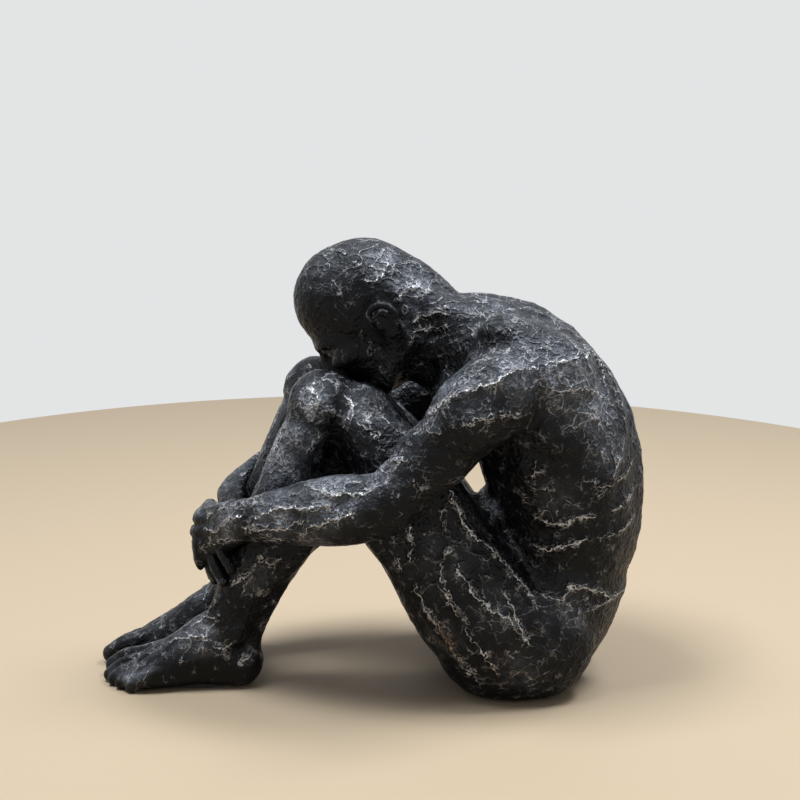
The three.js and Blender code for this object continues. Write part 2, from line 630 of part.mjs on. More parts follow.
const figure = new THREE.Group();
function addNode(name, solid, look) {
  const { vertProperties, triVerts } = solid.getMesh();
  const geometry = new THREE.BufferGeometry();
  geometry.setAttribute("position", new THREE.BufferAttribute(vertProperties, 3));
  geometry.setIndex(new THREE.BufferAttribute(triVerts, 1));
  geometry.computeVertexNormals();
  const mesh = new THREE.Mesh(geometry, new THREE.MeshStandardMaterial(look));
  mesh.name = name;
  figure.add(mesh);
}
for (const [name, solid] of Object.entries(castings)) addNode(name, solid, PAINT);
for (const [name, [from, to]] of Object.entries(dowels)) {
  addNode(name, rod(from, to, DOWEL_DIAMETER / 2), STEEL);
}
for (const [name, { at, length, width }] of Object.entries(pads)) {
  addNode(name, pill(at, length, width, 0, PAD_THICKNESS), FELT);
}

// The origin is under the middle of the figure, on the table.
const box = new THREE.Box3().setFromObject(figure);
const middle = box.getCenter(v(0, 0, 0));
figure.position.set(-middle.x, -middle.y, -box.min.z);

export default figure;
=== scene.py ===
import itertools
import math

import bpy
import numpy as np
from mathutils import Matrix, Vector
from mathutils.bvhtree import BVHTree


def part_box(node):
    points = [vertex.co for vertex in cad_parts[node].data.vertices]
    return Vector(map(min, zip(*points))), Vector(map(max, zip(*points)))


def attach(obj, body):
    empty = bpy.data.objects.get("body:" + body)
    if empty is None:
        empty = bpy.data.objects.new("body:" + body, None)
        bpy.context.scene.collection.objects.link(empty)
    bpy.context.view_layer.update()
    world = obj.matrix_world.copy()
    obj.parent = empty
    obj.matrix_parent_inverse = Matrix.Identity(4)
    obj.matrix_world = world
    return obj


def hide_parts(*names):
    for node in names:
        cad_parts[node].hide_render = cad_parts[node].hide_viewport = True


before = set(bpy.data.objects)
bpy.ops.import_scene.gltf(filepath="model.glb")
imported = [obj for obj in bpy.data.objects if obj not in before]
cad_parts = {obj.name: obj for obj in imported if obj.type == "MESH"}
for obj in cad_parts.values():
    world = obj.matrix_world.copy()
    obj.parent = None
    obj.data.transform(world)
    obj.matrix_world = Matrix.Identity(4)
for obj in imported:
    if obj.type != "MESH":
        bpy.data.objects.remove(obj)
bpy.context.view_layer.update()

mm = 0.001
scene = bpy.context.scene
scene.view_settings.view_transform = "Standard"
bpy.ops.object.select_all(action="DESELECT")

# Places are in millimetres from the middle of the seat, on the table, y below zero on the figure's left
low, high = [Vector(corner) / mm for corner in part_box("seat_felt_pad")]
seat = Vector(((low.x + high.x) / 2, (low.y + high.y) / 2, 0))


def fromSeat(x, y, z):
    return seat + Vector((x, y, z))


# Camera at the height and distance of the photograph
camera = {"place": (-63.6, -800, 314.7), "pitch": 79, "lens": 65.25, "sensor": 36, "frame": 800}
bpy.ops.object.camera_add(location=fromSeat(*camera["place"]) * mm)
shot = bpy.context.object
shot.rotation_euler.x = math.radians(camera["pitch"])
shot.data.lens = camera["lens"]
shot.data.sensor_width = camera["sensor"]
scene.camera = shot
bpy.context.view_layer.update()

# Joints of the figure
leftJoints = {
    "hip": fromSeat(2.7, -35, 37),
    "knee": fromSeat(-99.1, -22.5, 157.8),
    "ankle": fromSeat(-157.3, -22, 36),
    "heel": fromSeat(-141.1, -22, 0),
    "shoulder": fromSeat(-9.3, -59, 178),
    "elbow": fromSeat(-72, -62.4, 114.9),
    "wrist": fromSeat(-149.1, -43.7, 101),
    "palm": fromSeat(-172.5, -14.4, 83.6),
}
rightJoints = {
    "hip": fromSeat(-2.8, 35, 37),
    "knee": fromSeat(-104.6, 22.5, 157.8),
    "ankle": fromSeat(-162.8, 22, 36),
    "heel": fromSeat(-146.6, 22, 0),
    "shoulder": fromSeat(-9.3, 59, 178),
    "elbow": fromSeat(-82.8, 49.9, 128.7),
    "wrist": fromSeat(-156.8, 33.1, 101.9),
    "palm": fromSeat(-159.3, -9.5, 80.5),
}
head = {"nape": fromSeat(-39.3, 0, 200), "ears": fromSeat(-73.2, 0, 208.4), "tilt": 40}


def jointsOf(side):
    return leftJoints if side < 0 else rightJoints


def pick(obj):
    bpy.ops.object.select_all(action="DESELECT")
    obj.select_set(True)
    bpy.context.view_layer.objects.active = obj


def treeOf(corners, mesh):
    return BVHTree.FromPolygons(corners, [tuple(face.vertices) for face in mesh.polygons])


def mode(kind):
    bpy.ops.object.mode_set(mode=kind)


def applied(obj, kind, **settings):
    pick(obj)
    modifier = obj.modifiers.new(kind.lower(), kind)
    for name, value in settings.items():
        setattr(modifier, name, value)
    bpy.ops.object.modifier_apply(modifier=modifier.name)


def gather(lumps, name):
    bpy.ops.object.select_all(action="DESELECT")
    for lump in lumps:
        lump.select_set(True)
    bpy.context.view_layer.objects.active = lumps[0]
    bpy.ops.object.join()
    whole = bpy.context.object
    whole.name = name
    return whole


def copyOf(obj):
    twin = obj.copy()
    twin.data = obj.data.copy()
    scene.collection.objects.link(twin)
    return twin


def castingCopy(node):
    # the casting's own solid, its loose triangles merged, is the core of the clay
    core = copyOf(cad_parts[node])
    core.parent = None
    pick(core)
    mode("EDIT")
    bpy.ops.mesh.select_all(action="SELECT")
    bpy.ops.mesh.remove_doubles(threshold=0.02 * mm)
    mode("OBJECT")
    return core


def lump(at, size, along=Vector((1, 0, 0)), toward=Vector((0, 0, 1))):
    # a ball of clay pressed to an oval: size runs along, across and toward
    first = along.normalized()
    third = (toward - first * toward.dot(first)).normalized()
    second = third.cross(first)
    turn = Matrix((first, second, third)).transposed().to_euler()
    bpy.ops.mesh.primitive_uv_sphere_add(
        segments=24, ring_count=16, radius=1, location=at * mm, rotation=turn, scale=[s * mm for s in size]
    )
    bpy.ops.object.transform_apply(location=True, rotation=True, scale=True)
    return bpy.context.object


def roll(points, thickness):
    # a rolled strip of clay through the points, each with its own radius, rounded at its ends
    curve = bpy.data.curves.new("roll", "CURVE")
    curve.dimensions = "3D"
    curve.bevel_depth = mm
    curve.bevel_resolution = 3
    curve.resolution_u = 8
    curve.use_fill_caps = True
    spline = curve.splines.new("BEZIER")
    spline.bezier_points.add(len(points) - 1)
    for knot, place, radius in zip(spline.bezier_points, points, thickness):
        knot.co = place * mm
        knot.radius = radius
        knot.handle_left_type = "AUTO"
        knot.handle_right_type = "AUTO"
    strip = bpy.data.objects.new("roll", curve)
    scene.collection.objects.link(strip)
    pick(strip)
    bpy.ops.object.convert(target="MESH")
    rounds = [lump(points[i], (thickness[i],) * 3) for i in (0, -1)]
    return gather([strip, *rounds], "roll")


# Leg muscles: place along the bone, to its front and outwards, then size along, across and to the front
legClay = {
    "thigh": [
        (96, 9, 13, 56, 14, 21),
        (88, 17, 2, 58, 16, 11),
        (134, 9, -11, 22, 10, 15),
        (134, 8, 12, 24, 10, 15),
        (78, -21, 8, 52, 14, 13),
        (74, -20, -9, 50, 12, 12),
    ],
    "shin": [
        (18, 9, 9, 14, 10, 11),
        (18, 9, -9, 14, 10, 11),
        (72, -9, 8, 30, 9, 13),
        (78, -9, -8, 30, 9, 13),
        (60, 10, 6, 38, 8, 10),
        (58, 13, -5, 42, 6, 8),
        (42, -16, -9, 24, 9, 12),
        (62, -13, 0, 20, 13, 15),
    ],
    "kneecap": (20, 6, 11, 13),
    "ankleBone": (7, 4, 8),
    "ankleSides": ((12, (3, 0, -3)), (-12, (-1, 0, 2))),
    "heel": ((10, 0, 13), (11, 12, 12)),
    "tendonDown": ((92, 13), (112, 12.5)),
    "tendonFoot": ((12, 0, -6), (8, 0, -20)),
    "tendon": (7.5, 6, 5, 7),
    "hollow": (18, 8, 14),
}


def legWays(side):
    # the thigh's and the shin's own directions, seen from the side
    j = jointsOf(side)
    thigh = Vector((j["knee"].x - j["hip"].x, 0, j["knee"].z - j["hip"].z)).normalized()
    shin = Vector((j["ankle"].x - j["knee"].x, 0, j["ankle"].z - j["knee"].z)).normalized()
    return thigh, Vector((thigh.z, 0, -thigh.x)), shin, Vector((shin.z, 0, -shin.x))


def legLumps(side):
    j = jointsOf(side)
    hip, knee, ankle = j["hip"], j["knee"], j["ankle"]
    out = Vector((0, side, 0))
    thighWay, thighFront, shinWay, shinFront = legWays(side)
    lumps = []
    for along, front, aside, *size in legClay["thigh"]:
        middle = hip.lerp(knee, along / (knee - hip).length) + thighFront * front + out * aside
        lumps.append(lump(middle, size, thighWay, thighFront))
    for along, front, aside, *size in legClay["shin"]:
        middle = knee.lerp(ankle, along / (ankle - knee).length) + shinFront * front + out * aside
        lumps.append(lump(middle, size, shinWay, shinFront))
    reach, *size = legClay["kneecap"]
    kneeWay = (shinFront + thighWay).normalized()
    lumps.append(lump(knee + kneeWay * reach, size, kneeWay, Vector((0.6, 0, 0.8))))
    for aside, shift in legClay["ankleSides"]:
        lumps.append(lump(ankle + out * aside + Vector(shift), legClay["ankleBone"], shinWay, shinFront))
    place, size = legClay["heel"]
    lumps.append(lump(onFoot(side, *place), size))
    tendon = [knee + shinWay * down - shinFront * back for down, back in legClay["tendonDown"]]
    tendon += [ankle + Vector(shift) for shift in legClay["tendonFoot"]]
    lumps.append(roll(tendon, legClay["tendon"]))
    # flesh that closes the hollow of the knee on its inner side
    hollow = knee.lerp(ankle, 0.25).lerp(knee.lerp(hip, 0.25), 0.5) - out * 10
    lumps.append(lump(hollow, legClay["hollow"], shinWay, shinFront))
    return lumps


# Toes from the big one to the little one: how far each reaches from the heel, how far out it is, its radius.
# Each roll's and groove's way back from the tip, how far apart it has spread there, and the roll's height
toes = {
    "tips": (92, 91.5, 88, 83, 76.5),
    "places": (-13.7, -4, 3.6, 10.4, 16.2),
    "radii": (5.8, 4.1, 3.9, 3.7, 3.6),
    "turnout": 1,
    "roll": ((34, 0.62, 18), (23, 0.8, 13.6), (12.5, 0.98, 10.2)),
    "swell": (0.85, 0.92, 1, 0.96),
    "grooveWay": ((32, 0.64), (27, 0.73), (22, 0.81), (17, 0.9), (12, 0.98), (7, 1.01), (3, 1.02)),
    "groove": (-1.7, 2.0),
    "above": 60,
    "heelRound": 12,
    "heelWidth": 25,
    "press": 0.2,
    "pressAhead": (40, 85),
    "pressBelow": (-34, -24),
    "sole": 1.5,
}


grooveStep = 1.2  # millimetres between the points of a groove


def onFoot(side, ahead, out, up):
    # a place on a foot, from the back of its heel
    turn = Matrix.Rotation(math.radians(-toes["turnout"] * side), 3, "Z")
    return jointsOf(side)["heel"] + turn @ Vector((-ahead, side * out, up))


def toeRolls(side):
    rolls = []
    for tip, place, radius in zip(toes["tips"], toes["places"], toes["radii"]):
        spots = [*toes["roll"], (radius, 1.02, radius * 0.95)]
        path = [onFoot(side, tip - back, place * apart, up) for back, apart, up in spots]
        rolls.append(roll(path, [radius * share for share in toes["swell"]]))
    return rolls


def toeGrooves(side):
    # lines between the toes, above the foot
    grooves = []
    pairs = zip(toes["tips"], toes["tips"][1:], toes["places"], toes["places"][1:])
    for tip, nextTip, place, nextPlace in pairs:
        start = min(tip, nextTip)
        middle = (place + nextPlace) / 2
        spots = along(toes["grooveWay"], grooveStep)
        grooves.append([onFoot(side, start - back, middle * apart, toes["above"]) for back, apart in spots])
    return grooves


def armLumps(side):
    j = jointsOf(side)
    shoulder, elbow, wrist = j["shoulder"], j["elbow"], j["wrist"]
    upperWay = (elbow - shoulder).normalized()
    lowerWay = (wrist - elbow).normalized()
    above = (Vector((0, 0, 1)) - upperWay * upperWay.z).normalized()
    aside = (Vector((0, side, 0)) - upperWay * upperWay.y * side).normalized()
    over = (Vector((0, 0, 1)) - lowerWay * lowerWay.z).normalized()
    return [
        lump(shoulder + upperWay * 18 + aside * 5 + above * 3, (34, 20, 21), upperWay, above),
        lump(shoulder + upperWay * 52 + above * 6 - aside * 2, (26, 13, 12), upperWay, above),
        lump(shoulder + upperWay * 48 - above * 8 + aside * 3, (30, 12, 11), upperWay, above),
        lump(elbow - lowerWay * 5 - over * 5 + aside * 4, (9, 8, 9), upperWay, above),
        lump(elbow + lowerWay * 18 + over * 7 + aside * 3, (28, 12, 12), lowerWay, over),
        lump(elbow + lowerWay * 26 - over * 7, (32, 13, 12), lowerWay, over),
        lump(wrist - lowerWay * 5 + aside * 6, (8, 5, 7), lowerWay, over),
    ]


# Fingers from the first to the little one
hands = {
    "lengths": (0.92, 1, 0.95, 0.8),
    "radius": 4.5,
    "spacing": 7.8,
    "left": (0.7, 1, 0.88, 0.95, 0.8),
    "right": (1.1, 1.02, 0.9, 0.74),
    "groove": (-2.2, 2.0),
    "grooveWay": ((-5, 0.6), (4, 0), (12, -1.5), (22, -3.5), (27, -5.5)),
    "ahead": -40,
}


def leftFingers():
    palm, wrist = leftJoints["palm"], leftJoints["wrist"]
    rolls = []
    for i, length in enumerate(hands["lengths"]):
        drop = (i - 1.4) * hands["spacing"]
        knuckle = palm + Vector((-3.4 + 1.2 * (i - 1.2) ** 2, 0, -drop))
        radius = hands["radius"] * (1 if i < 3 else 0.9)
        path = [
            wrist.lerp(knuckle, 0.55) + Vector((-4, 0, 0)),
            knuckle + Vector((-1, -3, 0.5)),
            knuckle + Vector((0.5, 12 * length, -1.5)),
            knuckle + Vector((4.5, 22 * length, -3.5)),
            knuckle + Vector((12, 27 * length, -5.5)),
        ]
        rolls.append(roll(path, [radius * share for share in hands["left"]]))
    back = [wrist.lerp(palm, 0.45), palm + Vector((1, -2, 3)), palm + Vector((1, 2, -7))]
    rolls.append(roll(back, (8, 8, 7)))
    rolls.append(roll([wrist + Vector((2, 0, 4)), palm + Vector((5, -5, 9.5))], (8.5, 8)))
    rolls.append(lump(palm + Vector((-3.2, -3, -3)), (4.6, 8, 15.5)))
    thumb = [
        wrist.lerp(palm, 0.25) + Vector((0, 0, 8)),
        palm + Vector((4, -3, 15)),
        palm + Vector((1, 12, 14)),
    ]
    rolls.append(roll(thumb, (6, 5.2, 4.6)))
    return rolls


def fingerGrooves():
    # lines between the fingers of the left hand, ahead of it
    palm = leftJoints["palm"]
    grooves = []
    for i in range(3):
        drop = (i - 0.9) * hands["spacing"]
        spots = along(hands["grooveWay"], grooveStep)
        grooves.append([palm + Vector((hands["ahead"], y, z - drop)) for y, z in spots])
    return grooves


def rightFingers():
    # they hang under the left hand and lie on the left shin
    paths = [
        ((-164, -2, 88), (-165.5, -20, 85), (-161, -32.5, 80), (-156, -38, 72)),
        ((-167.5, -2, 82), (-169.5, -18, 79), (-166.5, -27, 72), (-161.5, -32, 63)),
        ((-169, -2, 77), (-171, -13, 74), (-169.5, -20, 68), (-167, -24, 62)),
        ((-170, -2, 72), (-171.5, -9, 69), (-171, -13, 65), (-169.5, -16, 61)),
    ]
    rolls = []
    for i, path in enumerate(paths):
        radius = hands["radius"] * (0.9 if i < 3 else 0.8)
        rolls.append(roll([fromSeat(*p) for p in path], [radius * share for share in hands["right"]]))
    palm, wrist, elbow = rightJoints["palm"], rightJoints["wrist"], rightJoints["elbow"]
    rolls.append(roll([palm + Vector((0, 8, 4)), fromSeat(-167, -4, 78)], (9, 8)))
    forearm = [elbow.lerp(wrist, 0.5) + Vector((0, 0, -4)), wrist + Vector((-2, -2, -2.5))]
    forearm.append(wrist.lerp(palm, 0.5) + Vector((-2, 0, 2)))
    rolls.append(roll(forearm, (11, 10.5, 9)))
    return rolls


# Head: x forward along the face, y aside, z up, from the middle of the ears
def onHead(x, y, z):
    tilt = math.radians(head["tilt"])
    ahead = Vector((-math.cos(tilt), 0, -math.sin(tilt)))
    up = Vector((-math.sin(tilt), 0, math.cos(tilt)))
    return head["ears"] + ahead * x + up * z + Vector((0, y, 0))


def headWays():
    return onHead(1, 0, 0) - onHead(0, 0, 0), onHead(0, 0, 1) - onHead(0, 0, 0)


def headLumps():
    ahead, up = headWays()
    brow = [(27, -19, 6), (34.5, -10, 9.6), (36.6, 0, 9), (34.5, 10, 9.6), (27, 19, 6)]
    lumps = [
        lump(onHead(33, 0, -19), (11, 13, 10), ahead, up),
        lump(onHead(36, 0, -31), (7, 9, 6), ahead, up),
        lump(onHead(8, 0, -16), (16, 15, 14), ahead, up),
        lump(onHead(9, 0, 19.5), (31, 25, 29.5), ahead, up),
        roll([onHead(-20, 0, 15), onHead(-25, 0, 3), head["nape"] + Vector((4, 0, 6))], (12, 12, 13)),
        roll([onHead(9, 0, -16), fromSeat(-49, 0, 179), fromSeat(-25, 0, 170)], (12, 12, 18)),
        roll([onHead(x, y, z) for x, y, z in brow], (3.4, 4.2, 4.2, 4.2, 3.4)),
    ]
    for side in (-1, 1):
        jaw = [onHead(6, side * 20, -21), onHead(22, side * 16, -29), onHead(35, side * 5, -33)]
        cord = [onHead(2, side * 22, -10), head["nape"] + Vector((2, side * 10, -12))]
        lumps += [
            lump(onHead(29, side * 18, -4), (10, 7, 6), ahead, up),
            lump(onHead(7, side * 18, -20), (10, 7, 8), ahead, up),
            roll(jaw, (6, 6, 5)),
            roll(cord, (6, 8)),
            roll([onHead(-20, side * 9, 2), head["nape"] + Vector((8, side * 16, 4))], (9, 12)),
        ]
    return lumps


# Ears: the points of each fold and its radii, drawn a little smaller as a whole
rim = [(4.5, 27, 1), (4, 29.5, 8), (-3, 31, 9.5), (-8.5, 31.5, 4)]
rim += [(-7.5, 30, -4), (-3, 28, -11), (0.5, 27, -11.5)]
ears = {
    "rim": (rim, (1.6, 1.8, 1.9, 1.9, 1.8, 2, 2.2)),
    "fold": ([(1, 28, 5), (-4, 29.5, 2), (-4, 28.8, -5), (0, 27.6, -7.5)], (1.1, 1.4, 1.4, 1.2)),
    "flap": ([(4, 27, -1.5), (3.6, 28.4, -3.5), (3.4, 27, -5.5)], (1.2, 1.7, 1.2)),
    "small": 0.86,
}


# Face: calm, eyes closed, on the usual thirds
def faceLumps():
    ahead, up = headWays()

    def bothWays(points):
        # a line that starts in the middle, carried on to both sides
        right = [onHead(x, y, z) for x, y, z in points]
        left = [onHead(x, -y, z) for x, y, z in reversed(points)]
        return left[:-1] + right

    lumps = [
        roll([onHead(38, 0, 7), onHead(42, 0, -1), onHead(45.6, 0, -8.2)], (2.7, 3, 3.7)),
        roll(bothWays([(43.2, 0, -18.4), (42.8, 3.5, -17.8), (36, 10, -19.8)]), (1.5, 2.1, 2, 2.1, 1.5)),
        roll(bothWays([(42.6, 0, -23), (36, 8.5, -21.2)]), (1.6, 2.6, 1.6)),
    ]
    for side in (-1, 1):
        lumps += [
            lump(onHead(42.4, side * 4.2, -9.6), (4.2, 2.9, 3), ahead, up),
            lump(onHead(30.6, side * 10.8, 1.6), (6.6, 7.4, 5.2), ahead, up),
        ]
        for part in ("rim", "fold", "flap"):
            path, thickness = ears[part]
            spots = [onHead(x * ears["small"], side * y, z * ears["small"]) for x, y, z in path]
            lumps.append(roll(spots, thickness))
    return lumps


# Lines pressed into the face: the hollow under the brow, the closed lids, the lips
faceGrooves = [
    ([(3.5, 4.6), (8, 6.2), (13, 5.8), (18, 2.5)], -1.5, 2.6),
    ([(5, 1.5), (5.6, -1.5)], -1.5, 2.8),
    ([(6, 0), (10.8, -1.9), (16, -0.3)], -0.8, 1.1),
    ([(6, -4.4), (11, -6), (16.5, -4.2)], -0.8, 2.6),
    ([(0, -20.7), (4, -20.4), (9, -21)], -1.0, 1.3),
    ([(0, -25.8), (5, -25.6)], -0.8, 2.4),
]


# Shoulder blades, the muscles beside the neck, the sides under the arms, the chest and the belly
def torsoLumps():
    lumps = [
        lump(fromSeat(-27, 0, 168), (20, 36, 24)),
        lump(fromSeat(-11, 0, 97), (10, 32, 10)),
    ]
    for side in (-1, 1):
        blade = fromSeat(21, side * 34, 170)
        lumps += [
            lump(blade, (14, 22, 34), Vector((1, side * 0.5, 0.35)), Vector((-0.35, 0, 1))),
            lump(fromSeat(1, side * 36, 196), (24, 22, 14), Vector((1, 0, -0.4)), Vector((0.3, 0, 1))),
            lump(fromSeat(9, side * 44, 148), (16, 14, 30), Vector((1, 0, 0)), Vector((-0.2, 0, 1))),
        ]
    return lumps


print("clay: cores and muscles")
# The grain of the first and the last mesh in millimetres, and how often each is smoothed
meshing = {"coarse": 2.2, "coarseRounds": 9, "rounds": 4, "quick": 1.6}
castings = {
    "torso": {"node": "torso_casting", "grain": 1.1, "clay": torsoLumps(), "fine": []},
    "head": {"node": "head_casting", "grain": 0.66, "clay": headLumps(), "fine": faceLumps()},
    "leftArm": {"node": "left_arm_casting", "grain": 0.76, "clay": armLumps(-1), "fine": leftFingers()},
    "rightArm": {"node": "right_arm_casting", "grain": 0.76, "clay": armLumps(1), "fine": rightFingers()},
    "leftLeg": {"node": "left_leg_casting", "grain": 0.98, "clay": legLumps(-1), "fine": toeRolls(-1)},
    "rightLeg": {"node": "right_leg_casting", "grain": 0.98, "clay": legLumps(1), "fine": toeRolls(1)},
}
for name, part in castings.items():
    part["raw"] = gather([castingCopy(part["node"]), *part["clay"]], "raw_" + name)
    if part["fine"]:
        part["fine"] = [gather(part["fine"], "fine_" + name)]
    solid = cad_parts[part["node"]].data
    part["tree"] = treeOf([v.co.copy() for v in solid.vertices], solid)


def remeshed(obj, grain, rounds):
    applied(obj, "REMESH", mode="VOXEL", voxel_size=grain * mm, use_smooth_shade=True)
    applied(obj, "SMOOTH", factor=0.5, iterations=rounds)


def modelled(name):
    # the casting's clay run together with its neighbours', first coarse and soft, then fine
    part = castings[name]
    neighbours = [n for n in castings if n != name] if name == "torso" else ["torso"]
    lumps = [copyOf(castings[n]["raw"]) for n in [name, *neighbours]]
    skin = gather(lumps, name)
    remeshed(skin, meshing["coarse"], meshing["coarseRounds"])
    if part["fine"]:
        skin = gather([skin, copyOf(part["fine"][0])], name)
    remeshed(skin, part["grain"] * (1), meshing["rounds"])
    return skin


def readSkin(skin):
    count = len(skin.data.vertices)
    places = np.empty(count * 3, np.float32)
    normals = np.empty(count * 3, np.float32)
    skin.data.vertices.foreach_get("co", places)
    skin.data.vertex_normals.foreach_get("vector", normals)
    return places.reshape(-1, 3).astype(float) / mm, normals.reshape(-1, 3).astype(float)


def writeSkin(skin, places):
    skin.data.vertices.foreach_set("co", (places * mm).astype(np.float32).ravel())
    skin.data.update()


def ends(skin):
    pairs = np.empty(len(skin.data.edges) * 2, np.int32)
    skin.data.edges.foreach_get("vertices", pairs)
    return pairs.reshape(-1, 2)


def spread(values, pairs, rounds):
    # each value drifts to the mean of its neighbours
    count = len(values)
    first, second = pairs[:, 0], pairs[:, 1]
    share = np.maximum(np.bincount(pairs.ravel(), minlength=count), 1)
    for turn in range(rounds):
        total = np.bincount(first, values[second], count) + np.bincount(second, values[first], count)
        values = 0.5 * values + 0.5 * total / share
    return values


slopes = np.random.default_rng(11).normal(size=(4096, 3))
slopes /= np.linalg.norm(slopes, axis=1)[:, None]


def swell(places, size, seed):
    # smooth uneven height, about -1 to 1, in lumps of one size
    grid = places / size + seed * 17.3
    cell = np.floor(grid).astype(np.int64)
    inside = grid - cell
    ease = inside**3 * (inside * (inside * 6 - 15) + 10)
    total = np.zeros(len(places))
    for corner in itertools.product((0, 1), repeat=3):
        at = cell + corner
        key = (at[:, 0] * 73856093 ^ at[:, 1] * 19349663 ^ at[:, 2] * 83492791) & 4095
        weight = np.prod(np.where(corner, ease, 1 - ease), axis=1)
        total += weight * (slopes[key] * (inside - corner)).sum(axis=1)
    return total * 1.7


def rise(values, low, high):
    share = np.clip((values - low) / (high - low), 0, 1)
    return share * share * (3 - 2 * share)


